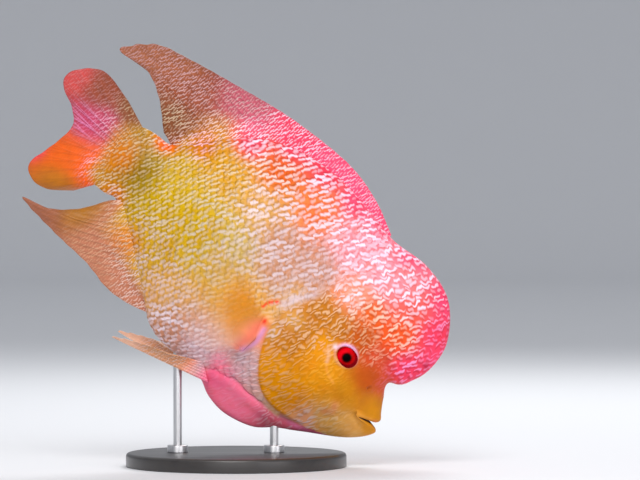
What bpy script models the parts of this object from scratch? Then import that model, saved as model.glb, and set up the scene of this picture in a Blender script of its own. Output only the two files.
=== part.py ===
"""A flowerhorn cichlid, 270 mm long, as a still museum model held head down on a stand with two rods.

Metres, +Z up, the fish's right side towards -Y. The origin is the centre of the stand's underside.
The fish is modelled level, in its own frame (x towards the snout, z towards the back, y to its left,
zero at the tail root), and one empty tips it head down and lifts it over the stand.
"""

import math

import bmesh
import bpy
import numpy as np
from mathutils import Matrix, Vector

MM = 0.001

# Driving dimensions. The fish's own lengths below are in millimetres of a fish this long.
STANDARD_LENGTH = 0.210  # snout to the end of the tail root
MODEL_LENGTH_MM = 210.0  # the length that the outlines below are drawn for
HEAD_DOWN = math.radians(43.0)
GAP = 0.3 * MM  # between touching pieces

BASE_RADIUS = 64 * MM
BASE_THICKNESS = 8 * MM
BASE_EDGE = 2 * MM
ROD_RADIUS = 2.5 * MM
COLLAR_RADIUS = 6 * MM
COLLAR_HEIGHT = 4 * MM
RODS = {"stand_rod_front": (22 * MM, 66 * MM), "stand_rod_rear": (-34 * MM, 101 * MM)}  # x and untrimmed height
CHIN_CLEARANCE = 9 * MM  # from the stand's top to the lowest point of the fish
FISH_FORWARD = 82.5  # x of the fish's own frame that stands over the origin, in fish millimetres
FISH_MIDDLE = 12.0  # and its z

SCALE = STANDARD_LENGTH / MODEL_LENGTH_MM  # fish millimetres to metres

# The midline of the back from the tail root over the hump to the upper lip, (x, z)
BACK = {
    "tail root end": (-9.6, 20.0),
    "tail root": (-5.0, 26.2),
    "tail stalk": (3.5, 28.7),
    "soft fin rear": (15.0, 31.0),
    "soft fin middle": (29.0, 47.0),
    "soft fin front": (45.5, 65.5),
    "spines rear": (68.0, 77.6),
    "spines middle": (96.0, 82.4),
    "shoulder": (122.0, 80.9),
    "nape": (146.0, 77.6),
    "crown": (171.0, 79.8),
    "brow": (193.0, 73.8),
    "hump front": (209.0, 56.0),
    "hump nose": (212.6, 37.5),
    "hump lower face": (208.3, 22.8),
    "notch": (200.8, 14.0),
    "snout top": (204.6, 6.2),
    "snout": (209.8, -1.4),
    "upper lip": (210.9, -4.9),
    "upper lip edge": (208.9, -7.2),
    "mouth roof": (203.5, -8.5),
}
NAPE = list(BACK).index("nape")

# The midline of the belly from the tail root to the lower lip
BELLY = {
    "tail root end": (-8.4, -11.5),
    "tail root": (-4.5, -16.6),
    "tail stalk": (4.5, -16.6),
    "anal fin rear": (14.0, -15.4),
    "anal fin middle": (38.0, -30.0),
    "anal fin front": (64.0, -46.6),
    "vent": (75.0, -54.2),
    "belly": (87.0, -57.1),
    "belly middle": (103.0, -56.8),
    "pelvic root": (117.5, -57.0),
    "breast": (129.0, -61.6),
    "throat": (143.0, -62.6),
    "throat front": (160.0, -57.2),
    "isthmus": (171.5, -47.0),
    "chin rear": (186.0, -37.6),
    "chin": (201.0, -27.2),
    "chin front": (209.5, -19.2),
    "lower lip": (214.2, -11.9),
    "lower lip edge": (212.4, -9.1),
    "mouth floor": (206.0, -9.2),
}
BREAST = list(BELLY).index("breast")

# Where the widest line of the head runs, from the gill opening past the eye to the corner of the mouth
HEAD_MIDDLE = ((139.5, 8.8), (157.0, 11.0), (174.5, 12.0), (187.0, 3.5), (194.0, -4.5), (197.8, -9.4), (202.5, -8.9))
MOUTH_MIDDLE = (199.0, -9.0)

# Half width of the body at places of its side view, (x, z, half width)
HALF_WIDTHS = {
    "tail root end": (-9.0, 5.0, 1.0),
    "tail root": (-3.0, 6.0, 3.6),
    "stalk": (7.0, 6.0, 6.6),
    "stalk top": (7.0, 24.0, 5.0),
    "stalk bottom": (7.0, -12.0, 5.0),
    "rear flank": (27.0, 10.0, 13.0),
    "rear back": (30.0, 40.0, 9.5),
    "rear belly": (32.0, -21.0, 10.5),
    "flank": (62.0, 14.0, 24.0),
    "mid back": (60.0, 64.0, 15.5),
    "vent": (66.0, -40.0, 17.0),
    "front flank": (98.0, 15.0, 30.0),
    "front back": (98.0, 72.0, 20.0),
    "belly": (98.0, -46.0, 22.0),
    "shoulder": (125.0, 15.0, 31.5),
    "shoulder top": (126.0, 70.0, 23.0),
    "pelvic root": (120.0, -46.0, 21.0),
    "gill cover": (147.0, -2.0, 31.0),
    "nape": (146.0, 64.0, 26.5),
    "throat": (145.0, -50.0, 15.0),
    "temple": (164.0, 28.0, 29.0),
    "eye": (173.0, 10.0, 26.0),
    "cheek": (171.0, -18.0, 25.0),
    "isthmus": (168.0, -40.0, 15.0),
    "hump side": (174.0, 50.0, 27.5),
    "hump crown": (172.0, 70.0, 22.5),
    "hump front": (202.0, 48.0, 20.5),
    "under hump": (195.0, 24.0, 19.5),
    "before eye": (188.0, 6.0, 20.0),
    "nostril": (198.0, 6.0, 14.0),
    "jaw hinge": (187.0, -18.0, 19.0),
    "mouth corner": (198.0, -9.5, 13.6),
    "snout": (206.5, 0.0, 11.0),
    "upper lip": (209.0, -5.0, 10.5),
    "lower lip": (211.0, -13.0, 10.5),
    "chin": (203.0, -22.0, 12.0),
    "chin rear": (187.0, -33.0, 13.0),
}
BLUNTNESS = 0.72  # power of the sine that rounds a section; under 1 makes the snout and hump front blunter
LIP_BEAD = 0.9  # how far the lips stand out, at stations round LIP_STATION
LIP_STATION = 1.945
LIP_BREADTH = 0.02

OUTSIDE = 60.0  # further from the middle plane than any flesh, for the cutters

TRUNK_RINGS = 22
HEAD_RINGS = 22
LIP_RINGS = (1.9, 1.92, 1.935, 1.95, 1.965, 1.98, 2.0)
BODY_SIDES = 28
GILL_COVER_PROUD = 0.8  # how far the gill cover stands out over the flank
GILL_COVER_INSIDE = 19.0  # how far from the middle plane its inner face lies
GILL_COVER = (
    (128.5, 9.5), (126.6, 0.0), (128.6, -10.5), (132.5, -20.0), (138.0, -28.5), (145.0, -35.5),
    (153.0, -39.5), (161.0, -38.5), (163.5, -33.5), (158.5, -27.5), (153.5, -18.0), (151.8, -8.0),
    (152.0, 5.0), (149.5, 15.0), (142.5, 20.0), (134.0, 18.5), (128.5, 9.5),
)

EYE_PLACE = (172.8, 9.9)
EYE_RADIUS = 8.0
EYE_STANDS_OUT = 2.6
NOSTRIL_PLACE = (193.5, 5.5)
NOSTRIL_RADIUS = 0.9


def smooth_line(points, step=24):
    """Catmull-Rom curve through the points, step samples a span, and its running length."""
    knots = np.array(points, float)
    ends = np.vstack([2 * knots[0] - knots[1], knots, 2 * knots[-1] - knots[-2]])
    t = np.linspace(0, 1, step, endpoint=False)[:, None]
    spans = [
        0.5 * (2 * b + (c - a) * t + (2 * a - 5 * b + 4 * c - d) * t**2 + (3 * b - a - 3 * c + d) * t**3)
        for a, b, c, d in zip(ends, ends[1:], ends[2:], ends[3:])
    ]
    line = np.vstack([*spans, knots[-1:]])
    length = np.r_[0, np.cumsum(np.linalg.norm(np.diff(line, axis=0), axis=1))]
    return line, length


def along(points, station, split=None):
    """Places on the smooth curve: station 0 to 1 up to the split point, 1 to 2 from there to the end."""
    line, length = smooth_line(points)
    if split is None:
        stops, marks = (0, 1), (0, length[-1])
    else:
        stops, marks = (0, 1, 2), (0, length[split * 24], length[-1])
    at = np.interp(station, stops, marks)
    return np.stack([np.interp(at, length, axis) for axis in line.T], axis=-1)


def ease(x):
    x = np.clip(x, 0, 1)
    return x * x * (3 - 2 * x)


def skin_half_width(place):
    """Half width of the body at a point of the side view, from the nearest point of its skin."""
    rings = body_surface(np.linspace(0, 2, 400)[:, None], np.linspace(0, np.pi, 180)[None, :]).reshape(-1, 3)
    near = np.argmin(np.hypot(rings[:, 0] - place[0], rings[:, 2] - place[1]))
    return abs(rings[near, 1])


def sheet(distance_squared):
    """The thin plate spline's r^2 log r."""
    return distance_squared * np.log(distance_squared + 1e-9)


def half_width(places):
    """Half width at places of the side view: a smooth sheet bent through the named half widths."""
    known = np.array(list(HALF_WIDTHS.values())) / (100.0, 100.0, 1.0)
    count = len(known)
    plane = np.c_[np.ones(count), known[:, :2]]
    apart = ((known[:, None, :2] - known[None, :, :2]) ** 2).sum(axis=2)
    system = np.block([[sheet(apart), plane], [plane.T, np.zeros((3, 3))]])
    weights = np.linalg.solve(system, np.r_[known[:, 2], np.zeros(3)])
    at = places.reshape(-1, 2) / 100.0
    apart = ((at[:, None] - known[None, :, :2]) ** 2).sum(axis=2)
    width = sheet(apart) @ weights[:count] + weights[count] + at @ weights[count + 1 :]
    return np.maximum(width, 0.5).reshape(places.shape[:-1])


def body_surface(station, angle):
    """Skin of the fish in fish millimetres: rings from back to belly that fan round the hump and lips."""
    station, angle = np.broadcast_arrays(station, angle)
    back = along(list(BACK.values()), station, NAPE)
    belly = along(list(BELLY.values()), station, BREAST)
    head = along(HEAD_MIDDLE, np.clip(station - 1, 0, 1))
    share = ease((station - 0.85) / 0.3)[..., None]
    middle = (back + belly) / 2 * (1 - share) + head * share
    lean = np.cos(angle)[..., None]
    side = back * lean * (lean + 1) / 2 + middle * (1 - lean**2) + belly * lean * (lean - 1) / 2
    fullness = 1 - (1 - BLUNTNESS) * ease((station - 1.5) / 0.3)
    y = -np.sign(np.sin(angle)) * np.abs(np.sin(angle)) ** fullness * half_width(side)
    bead = LIP_BEAD * np.exp(-(((station - LIP_STATION) / LIP_BREADTH) ** 2))
    out = np.stack([side[..., 0] - MOUTH_MIDDLE[0], y, side[..., 1] - MOUTH_MIDDLE[1]], axis=-1)
    out *= (bead / np.linalg.norm(out, axis=-1))[..., None]
    return np.stack([side[..., 0], y, side[..., 1]], axis=-1) + out


def station_list():
    """Ring stations, closer together at the tail root, round the hump and most of all at the lips."""
    trunk = np.linspace(0, 1, TRUNK_RINGS + 1) ** 1.15
    head = np.linspace(1, LIP_RINGS[0], HEAD_RINGS + 1)[1:-1]
    return np.r_[trunk, head, LIP_RINGS]


def body_mesh(name, out=0.0):
    """The whole body as one closed mesh, moved out along its normals by some fish millimetres."""
    angles = np.linspace(0, 2 * np.pi, BODY_SIDES, endpoint=False)
    rings = body_surface(station_list()[:, None], angles[None, :])
    bm = bmesh.new()
    verts = [[bm.verts.new(point) for point in ring] for ring in rings.tolist()]
    for ring, following in zip(verts, verts[1:]):
        for i, vert in enumerate(ring):
            j = (i + 1) % BODY_SIDES
            bm.faces.new((vert, following[i], following[j], ring[j]))
    bm.faces.new(verts[0])
    bm.faces.new(verts[-1][::-1])
    bmesh.ops.recalc_face_normals(bm, faces=bm.faces)
    bm.normal_update()
    moved = [(vert, vert.co + vert.normal * out) for vert in bm.verts]
    for vert, place in moved:
        vert.co = place * SCALE
    bmesh.ops.triangulate(bm, faces=bm.faces)
    mesh = bpy.data.meshes.new(name)
    bm.to_mesh(mesh)
    bm.free()
    return mesh


def material(name, colour, roughness, metallic=0.0):
    made = bpy.data.materials.new(name)
    made.use_nodes = True
    shader = made.node_tree.nodes["Principled BSDF"]
    shader.inputs["Base Color"].default_value = (*colour, 1.0)
    shader.inputs["Roughness"].default_value = roughness
    shader.inputs["Metallic"].default_value = metallic
    return made


def add(collection, name, mesh, finish=None, parent=None):
    made = bpy.data.objects.new(name, mesh)
    collection.objects.link(made)
    made.parent = parent
    if finish:
        mesh.materials.clear()
        mesh.materials.append(finish)
        mesh.shade_smooth()
        mesh.set_sharp_from_angle(angle=math.radians(40))
    return made


def hide(made):
    made.hide_render = True
    made.display_type = "WIRE"
    return made


def prism(name, outline, low, high):
    """A cutter: an outline in the fish's side view carried through y from low to high."""
    bm = bmesh.new()
    corners = [bm.verts.new((x * SCALE, low * SCALE, z * SCALE)) for x, z in outline]
    face = bm.faces.new(corners)
    grown = bmesh.ops.extrude_face_region(bm, geom=[face])["geom"]
    new = [g for g in grown if isinstance(g, bmesh.types.BMVert)]
    bmesh.ops.translate(bm, verts=new, vec=(0, (high - low) * SCALE, 0))
    bmesh.ops.recalc_face_normals(bm, faces=bm.faces)
    mesh = bpy.data.meshes.new(name)
    bm.to_mesh(mesh)
    bm.free()
    return mesh


def wall(name, line, reach=OUTSIDE):
    """A thin cutter that follows a line in the side view, as thick as the gap between pieces."""
    path = np.array(line, float)
    way = np.gradient(path, axis=0)
    across = np.stack([-way[:, 1], way[:, 0]], axis=1)
    across *= GAP / SCALE / 2 / np.linalg.norm(across, axis=1)[:, None]
    outline = np.vstack([path + across, (path - across)[::-1]])
    return prism(name, outline, -reach, reach)


def ball(name, place, radius, segments, rings):
    bm = bmesh.new()
    bmesh.ops.create_uvsphere(bm, u_segments=segments, v_segments=rings, radius=radius * SCALE)
    bmesh.ops.rotate(bm, verts=bm.verts, matrix=Matrix.Rotation(math.pi / 2, 3, "X"))
    bmesh.ops.translate(bm, verts=bm.verts, vec=Vector(place) * SCALE)
    mesh = bpy.data.meshes.new(name)
    bm.to_mesh(mesh)
    bm.free()
    return mesh


def cut(target, cutter, operation="DIFFERENCE"):
    modifier = target.modifiers.new(f"{operation.lower()} {cutter.name}", "BOOLEAN")
    modifier.operation = operation
    modifier.solver = "EXACT"
    modifier.object = cutter


def islands(bm):
    """The separate closed surfaces of a mesh, as lists of faces, the largest first."""
    left, found = set(bm.faces), []
    while left:
        grown, edge = set(), [left.pop()]
        while edge:
            face = edge.pop()
            grown.add(face)
            for near in (f for e in face.edges for f in e.link_faces):
                if near in left:
                    left.discard(near)
                    edge.append(near)
        found.append(list(grown))
    return sorted(found, key=len, reverse=True)


def settle(made, parts=1):
    """Applies an object's modifiers and returns its largest closed surfaces as meshes."""
    bpy.context.view_layer.update()
    evaluated = made.evaluated_get(bpy.context.evaluated_depsgraph_get())
    whole = bpy.data.meshes.new_from_object(evaluated)
    kept = []
    for index in range(parts):
        bm = bmesh.new()
        bm.from_mesh(whole)
        bmesh.ops.remove_doubles(bm, verts=bm.verts, dist=1e-7)
        found = islands(bm)
        if index < len(found):
            extra = [face for island in found if island is not found[index] for face in island]
            bmesh.ops.delete(bm, geom=extra, context="FACES")
            mesh = bpy.data.meshes.new(made.name)
            bm.to_mesh(mesh)
            kept.append(mesh)
        bm.free()
    return kept


def middle_of(mesh):
    points = np.array([v.co for v in mesh.vertices])
    return (points.min(0) + points.max(0)) / 2 / SCALE


# Fins

RAY_RISE = 0.38  # how far a ray stands out of the membrane on each side, at its root
MEMBRANE = 0.27  # half thickness of the membrane


def fin_grid(roots, tips, rays, rows, bend=(0.0, 0.0), notch=0.0):
    """Middle surface of a fin in the side view: two columns a ray, rows from the root to the rim.

    Each ray is an arc from a smooth line of roots to a smooth line of tips, bent by bend at its middle,
    and between two rays the membrane stops short of the tips by the share given as notch.
    """
    across = np.linspace(0, 1, 2 * rays + 1)
    root, tip = along(roots, across), along(tips, across)
    lean = np.linspace(0, 1, rows)[:, None, None]
    short = 1 - notch * np.cos(np.pi * across * rays)[None, :, None] ** 2
    reach = lean * short
    sag = np.array(bend) * 4 * reach * (1 - reach)
    length = np.linalg.norm(tip - root, axis=1)[None, :, None]
    return root * (1 - reach) + tip * reach + sag * length, across, reach[..., 0]


def ray_thickness(across, reach, rays, root_swell, swell_reach=0.35):
    """Half thickness of a fin: membrane, a ridge on every ray that fades to its tip, a thick root."""
    ridge = np.sin(np.pi * across * rays) ** 2
    rise = RAY_RISE * (1 - 0.75 * reach) * ridge[None, :]
    root = root_swell * ease(1 - reach / swell_reach)
    return MEMBRANE + rise + root


def fin_mesh(name, middle, half):
    """A closed fin from its middle surface, rows x columns x 3, and its half thickness.

    Both faces are split into triangles alike.
    """
    down, over = np.gradient(middle, axis=0), np.gradient(middle, axis=1)
    normal = np.cross(over, down)
    normal /= np.linalg.norm(normal, axis=2)[..., None]
    bm = bmesh.new()
    faces = [
        [[bm.verts.new(point * SCALE) for point in row] for row in middle + way * normal * half[..., None]]
        for way in (1, -1)
    ]
    rows, columns = half.shape

    def triangles(a, b, c, d):
        bm.faces.new((a, b, c))
        bm.faces.new((a, c, d))

    top, under = faces
    for i in range(rows - 1):
        for j in range(columns - 1):
            triangles(top[i][j], top[i][j + 1], top[i + 1][j + 1], top[i + 1][j])
            bm.faces.new((under[i][j], under[i + 1][j + 1], under[i][j + 1]))
            bm.faces.new((under[i][j], under[i + 1][j], under[i + 1][j + 1]))
    for j in range(columns - 1):
        triangles(top[0][j + 1], top[0][j], under[0][j], under[0][j + 1])
        triangles(top[-1][j], top[-1][j + 1], under[-1][j + 1], under[-1][j])
    for i in range(rows - 1):
        triangles(top[i][0], top[i + 1][0], under[i + 1][0], under[i][0])
        triangles(top[i + 1][-1], top[i][-1], under[i][-1], under[i + 1][-1])
    bmesh.ops.recalc_face_normals(bm, faces=bm.faces)
    mesh = bpy.data.meshes.new(name)
    bm.to_mesh(mesh)
    bm.free()
    return mesh


def upright(side_view, sway):
    """A fin on the midline: side view points with a sway in y for each."""
    return np.stack([side_view[..., 0], sway, side_view[..., 1]], axis=-1)


def dorsal_fin():
    """16 low spines laid back along the back, then 12 soft rays drawn out into a long point."""
    roots = ((144.0, 74.0), (120.0, 77.0), (96.0, 78.0), (70.0, 72.0), (48.0, 60.0), (31.0, 42.0), (17.0, 28.0))
    tips = (
        (143.0, 79.0), (122.0, 87.8), (96.0, 92.3), (56.0, 89.2), (20.0, 81.7), (-14.0, 73.3), (-33.0, 66.4),
        (-46.0, 50.0), (-27.0, 52.3), (-11.0, 46.0), (6.0, 32.5),
    )
    rays = 28
    view, across, reach = fin_grid(roots, tips, rays, 9, bend=(0.0, 0.05), notch=0.015)
    sway = 3.5 * np.sin(np.pi * reach) * ease((across[None, :] - 0.45) / 0.4)
    return fin_mesh("dorsal_fin", upright(view, sway), ray_thickness(across, reach, rays, 1.6))


def anal_fin():
    """7 spines and 9 soft rays drawn out into a point under the tail."""
    roots = ((72.0, -45.0), (55.0, -35.0), (38.0, -26.0), (24.0, -18.5), (14.5, -12.5))
    tips = (
        (71.0, -50.2), (58.0, -54.4), (43.0, -56.2), (24.0, -53.5), (0.0, -53.3), (-28.5, -51.2),
        (-13.0, -45.2), (0.0, -33.5), (10.0, -17.5),
    )
    rays = 16
    view, across, reach = fin_grid(roots, tips, rays, 9, bend=(0.0, -0.05), notch=0.02)
    sway = -3.0 * np.sin(np.pi * reach) * ease((across[None, :] - 0.35) / 0.4)
    return fin_mesh("anal_fin", upright(view, sway), ray_thickness(across, reach, rays, 1.5))


def caudal_fin():
    """16 rays in a fan, its lower lobe curled to the far side as in a turn."""
    roots = ((-1.0, 25.0), (-4.0, 15.0), (-4.5, 5.0), (-4.0, -5.0), (-1.0, -14.0))
    tips = (
        (-22.0, 31.8), (-42.0, 35.0), (-53.0, 28.5), (-58.5, 18.5), (-54.0, 11.5), (-44.0, 7.2), (-36.0, 0.0),
        (-35.5, -10.0), (-37.5, -22.0), (-39.5, -34.0), (-32.5, -39.8), (-22.0, -38.2), (-10.0, -28.5),
    )
    rays = 16
    view, across, reach = fin_grid(roots, tips, rays, 9, notch=0.03)
    sway = 4.0 * reach**2 + 9.0 * reach**1.6 * ease((across[None, :] - 0.5) / 0.5)
    return fin_mesh("caudal_fin", upright(view, sway), ray_thickness(across, reach, rays, 1.4, 0.45))


def pectoral_fin(name, side, spread):
    """14 rays fanned back from behind the gill cover, standing off the flank."""
    rays = 14
    roots = ((125.0, -7.0), (125.5, -17.0), (124.5, -27.5))
    tips = (
        (92.0, 12.0), (76.0, 8.0), (71.0, -7.0), (74.0, -22.0), (84.0, -36.0), (99.0, -43.0), (113.0, -40.0),
    )
    view, across, reach = fin_grid(roots, tips, rays, 8, notch=0.03)
    out = 27.0 + 5.0 * np.sqrt(reach) + spread * reach**1.3
    middle = np.stack([view[..., 0], side * out, view[..., 1]], axis=-1)
    return fin_mesh(name, middle, ray_thickness(across, reach, rays, 1.1, 0.25))


def pelvic_fin(name, side, droop):
    """A spine and 5 soft rays, the first drawn out into a thread."""
    rays = 6
    roots = ((123.5, -55.8), (118.0, -52.5), (112.5, -49.5))
    tips = ((63.0, -72.5), (72.0, -67.0), (84.0, -61.0), (97.0, -56.0))
    view, across, reach = fin_grid(roots, tips, rays, 9, bend=(0.0, -0.01), notch=0.03)
    out = 7.5 + 9.0 * reach + 3.0 * across[None, :] * reach
    drop = droop * reach**2
    middle = np.stack([view[..., 0], side * out, view[..., 1] - drop], axis=-1)
    return fin_mesh(name, middle, ray_thickness(across, reach, rays, 1.2, 0.3))


# The stand


def turned(collection, name, profile, steps, finish):
    """A turned piece: an open profile from the top of the axis out and down to its foot."""
    mesh = bpy.data.meshes.new(name)
    edges = [(i, i + 1) for i in range(len(profile) - 1)]
    mesh.from_pydata([(x, 0, z) for x, z in profile], edges, [])
    made = add(collection, name, mesh)
    screw = made.modifiers.new("turn", "SCREW")
    screw.steps = screw.render_steps = steps
    screw.use_merge_vertices = True
    screw.merge_threshold = 1e-5
    mesh.materials.append(finish)
    return made


def stand(collection, finishes, top_cutter):
    """A round base and two rods that run up into the fish and are trimmed to its skin."""
    top = BASE_THICKNESS
    turned(
        collection,
        "stand_base",
        ((0, top), (BASE_RADIUS - BASE_EDGE, top), (BASE_RADIUS, top - BASE_EDGE), (BASE_RADIUS, 0), (0, 0)),
        48,
        finishes["stand"],
    )
    for name, (x, height) in RODS.items():
        foot = top + GAP
        made = turned(
            collection,
            name,
            (
                (0, height), (ROD_RADIUS, height), (ROD_RADIUS, foot + COLLAR_HEIGHT),
                (COLLAR_RADIUS, foot + COLLAR_HEIGHT), (COLLAR_RADIUS, foot), (0, foot),
            ),
            16,
            finishes["rod"],
        )
        made.location.x = x
        cut(made, top_cutter)


def main():
    for old in list(bpy.data.objects):
        bpy.data.objects.remove(old)
    parts = bpy.data.collections.new("flowerhorn_cichlid")
    cutters = bpy.data.collections.new("cutters")
    for collection in (parts, cutters):
        bpy.context.scene.collection.children.link(collection)

    finishes = {
        "flesh": material("skin", (0.90, 0.50, 0.16), 0.35),
        "hump": material("hump_skin", (0.90, 0.24, 0.22), 0.35),
        "throat": material("throat_skin", (0.88, 0.33, 0.38), 0.35),
        "fin": material("fin_membrane", (0.86, 0.38, 0.16), 0.4),
        "eye": material("eye", (0.75, 0.02, 0.03), 0.1),
        "stand": material("stand_lacquer", (0.05, 0.05, 0.055), 0.35),
        "rod": material("rod_steel", (0.62, 0.62, 0.63), 0.3, 1.0),
    }

    pose = bpy.data.objects.new("fish_pose", None)
    parts.objects.link(pose)
    pose.rotation_euler = (0, HEAD_DOWN, 0)
    forward, middle = FISH_FORWARD * SCALE, FISH_MIDDLE * SCALE
    sunk = body_surface(station_list()[:, None], np.linspace(0, 2 * np.pi, BODY_SIDES)[None, :]) * SCALE
    heights = sunk[..., 2] * math.cos(HEAD_DOWN) - sunk[..., 0] * math.sin(HEAD_DOWN)
    pose.location = (
        -forward * math.cos(HEAD_DOWN) - middle * math.sin(HEAD_DOWN),
        0,
        BASE_THICKNESS + CHIN_CLEARANCE - heights.min(),
    )

    def cutter(name, mesh):
        return hide(add(cutters, name, mesh, parent=pose))

    # Gill covers, eyes and nostrils, cut out of the whole body on both sides
    gill, _ = smooth_line(GILL_COVER, 3)
    gill = gill[:-1]
    away = gill - gill.mean(axis=0)
    wider = gill + away * (GAP / SCALE / np.linalg.norm(away, axis=1))[:, None]
    whole = add(parts, "whole", body_mesh("whole"), parent=pose)
    proud = cutter("proud", body_mesh("proud", GILL_COVER_PROUD))
    covers = {}
    for name, side in (("right", -1), ("left", 1)):
        inner, outer = sorted((side * GILL_COVER_INSIDE, side * OUTSIDE))
        covers[name] = add(parts, f"gill_cover_{name}", prism(f"gill_{name}", gill, inner, outer), parent=pose)
        cut(covers[name], proud, "INTERSECT")
        inner, outer = sorted((side * (GILL_COVER_INSIDE - GAP / SCALE), side * OUTSIDE))
        cut(whole, cutter(f"gill_seat_{name}", prism("gill_seat", wider, inner, outer)))
        eye_y = side * (skin_half_width(EYE_PLACE) + EYE_STANDS_OUT - EYE_RADIUS)
        place = (EYE_PLACE[0], eye_y, EYE_PLACE[1])
        add(parts, f"eye_{name}", ball("eye", place, EYE_RADIUS, 20, 12), finishes["eye"], pose)
        cut(whole, cutter(f"socket_{name}", ball("socket", place, EYE_RADIUS + GAP / SCALE, 20, 12)))
        pit = (NOSTRIL_PLACE[0], side * skin_half_width(NOSTRIL_PLACE), NOSTRIL_PLACE[1])
        cut(whole, cutter(f"nostril_{name}", ball("nostril", pit, NOSTRIL_RADIUS, 8, 6)))

    # Thin cuts that part the flesh
    lines = {
        "tail_cut": ((17.0, 60.0), (18.5, 6.0), (17.0, -40.0)),
        "head_cut": ((144.0, 90.0), (141.0, 60.0), (136.0, 26.0), (129.8, 8.0), (128.2, -1.0), (130.0, -11.0),
                     (134.0, -20.5), (139.0, -30.0), (144.4, -43.2)),
        "hump_cut": ((139.6, 54.5), (150.0, 48.0), (178.0, 30.0), (201.5, 13.2), (215.0, 4.5)),
        "jaw_cut": ((222.0, -7.6), (204.5, -8.8), (197.0, -9.6), (190.5, -20.0), (184.0, -48.0)),
        "throat_cut": ((112.0, -70.0), (119.0, -49.0), (133.0, -43.5), (160.0, -42.5), (176.0, -38.0), (186.0, -50.0)),
    }
    for name, line in lines.items():
        cut(whole, cutter(name, wall(name, line)))
    names = {
        "trunk": (75.0, 15.0), "tail_base": (4.0, 7.0), "head": (165.0, 0.0), "nuchal_hump": (180.0, 50.0),
        "lower_jaw": (202.0, -20.0), "throat": (150.0, -52.0),
    }
    for mesh in settle(whole, len(names)):
        x, _, z = middle_of(mesh)
        name = min(names, key=lambda n: math.hypot(names[n][0] - x, names[n][1] - z))
        kind = {"nuchal_hump": "hump", "throat": "throat"}.get(name, "flesh")
        add(parts, name, mesh, finishes[kind], pose)
    bpy.data.objects.remove(whole)
    for made in covers.values():
        made.data = settle(made)[0]
        made.modifiers.clear()
        made.data.materials.append(finishes["flesh"])

    # Fins, each trimmed to the skin
    clear = cutter("clear_skin", body_mesh("clear_skin", GAP / SCALE))
    fins = (
        dorsal_fin(), anal_fin(), caudal_fin(),
        pectoral_fin("pectoral_fin_right", -1, 13.0), pectoral_fin("pectoral_fin_left", 1, 17.0),
        pelvic_fin("pelvic_fin_right", -1, 2.0), pelvic_fin("pelvic_fin_left", 1, -1.0),
    )
    for mesh in fins:
        made = add(parts, mesh.name, mesh, parent=pose)
        cut(made, clear)
        made.data = settle(made)[0]
        made.modifiers.clear()
        made.data.materials.append(finishes["fin"])

    stand(parts, finishes, clear)


main()
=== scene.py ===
import math

import bpy
import numpy as np
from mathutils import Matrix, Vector


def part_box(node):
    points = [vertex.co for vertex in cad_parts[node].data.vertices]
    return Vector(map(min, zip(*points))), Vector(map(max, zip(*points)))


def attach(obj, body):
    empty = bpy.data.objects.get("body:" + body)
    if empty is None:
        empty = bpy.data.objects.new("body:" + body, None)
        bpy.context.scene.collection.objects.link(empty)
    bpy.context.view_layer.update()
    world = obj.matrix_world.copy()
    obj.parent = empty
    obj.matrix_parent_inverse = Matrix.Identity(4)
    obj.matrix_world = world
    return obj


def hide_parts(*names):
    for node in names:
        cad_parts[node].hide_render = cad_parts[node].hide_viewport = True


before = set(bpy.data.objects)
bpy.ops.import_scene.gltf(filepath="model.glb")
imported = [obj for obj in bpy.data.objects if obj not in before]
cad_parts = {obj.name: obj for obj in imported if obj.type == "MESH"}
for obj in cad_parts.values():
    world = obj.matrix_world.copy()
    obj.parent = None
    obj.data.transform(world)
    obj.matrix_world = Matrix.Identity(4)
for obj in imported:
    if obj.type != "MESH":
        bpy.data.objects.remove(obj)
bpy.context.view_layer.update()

print("frame loaded:", len(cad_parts), "nodes")

mm = 0.001
rng = np.random.default_rng(7)

# The fish's own frame is in millimetres: x to the snout, y to its left, z to its back, zero at the tail
# root.
bodyPlan = {
    "back": (
        (-9.6, 20), (-5, 26.2), (3.5, 28.7), (15, 31), (29, 47), (45.5, 65.5), (68, 77.6), (96, 82.4),
        (122, 80.9), (146, 77.6), (171, 79.8), (193, 73.8), (209, 56), (212.6, 37.5), (208.3, 22.8),
        (200.8, 14), (204.6, 6.2), (209.4, -1), (211, -4.6), (210, -7), (207.4, -7.8),
    ),
    "nape": 9,  # the point of the back where the head starts
    "belly": (
        (-8.4, -11.5), (-4.5, -16.6), (4.5, -16.6), (14, -15.4), (38, -30), (64, -46.6), (75, -54.2),
        (87, -57.1), (103, -56.8), (117.5, -57), (129, -61.6), (143, -62.6), (160, -57.2), (171.5, -47),
        (186, -37.6), (201, -27.2), (209.5, -19.2), (214, -12.2), (212.4, -9.6), (208, -8.5),
    ),
    "breast": 10,  # the point of the belly where the head starts
    "headMiddle": (
        (139.5, 8.8), (157, 11), (174.5, 12), (187, 3.5), (194, -5), (198.2, -10.6), (201.5, -10.6),
    ),
    "mouthMiddle": (200, -9.6),
    "bluntness": 0.72,
    "lipBead": 0.9,
    "lipStation": 1.962,
    "lipBreadth": 0.02,
    "headDown": 43,  # degrees
}

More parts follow.
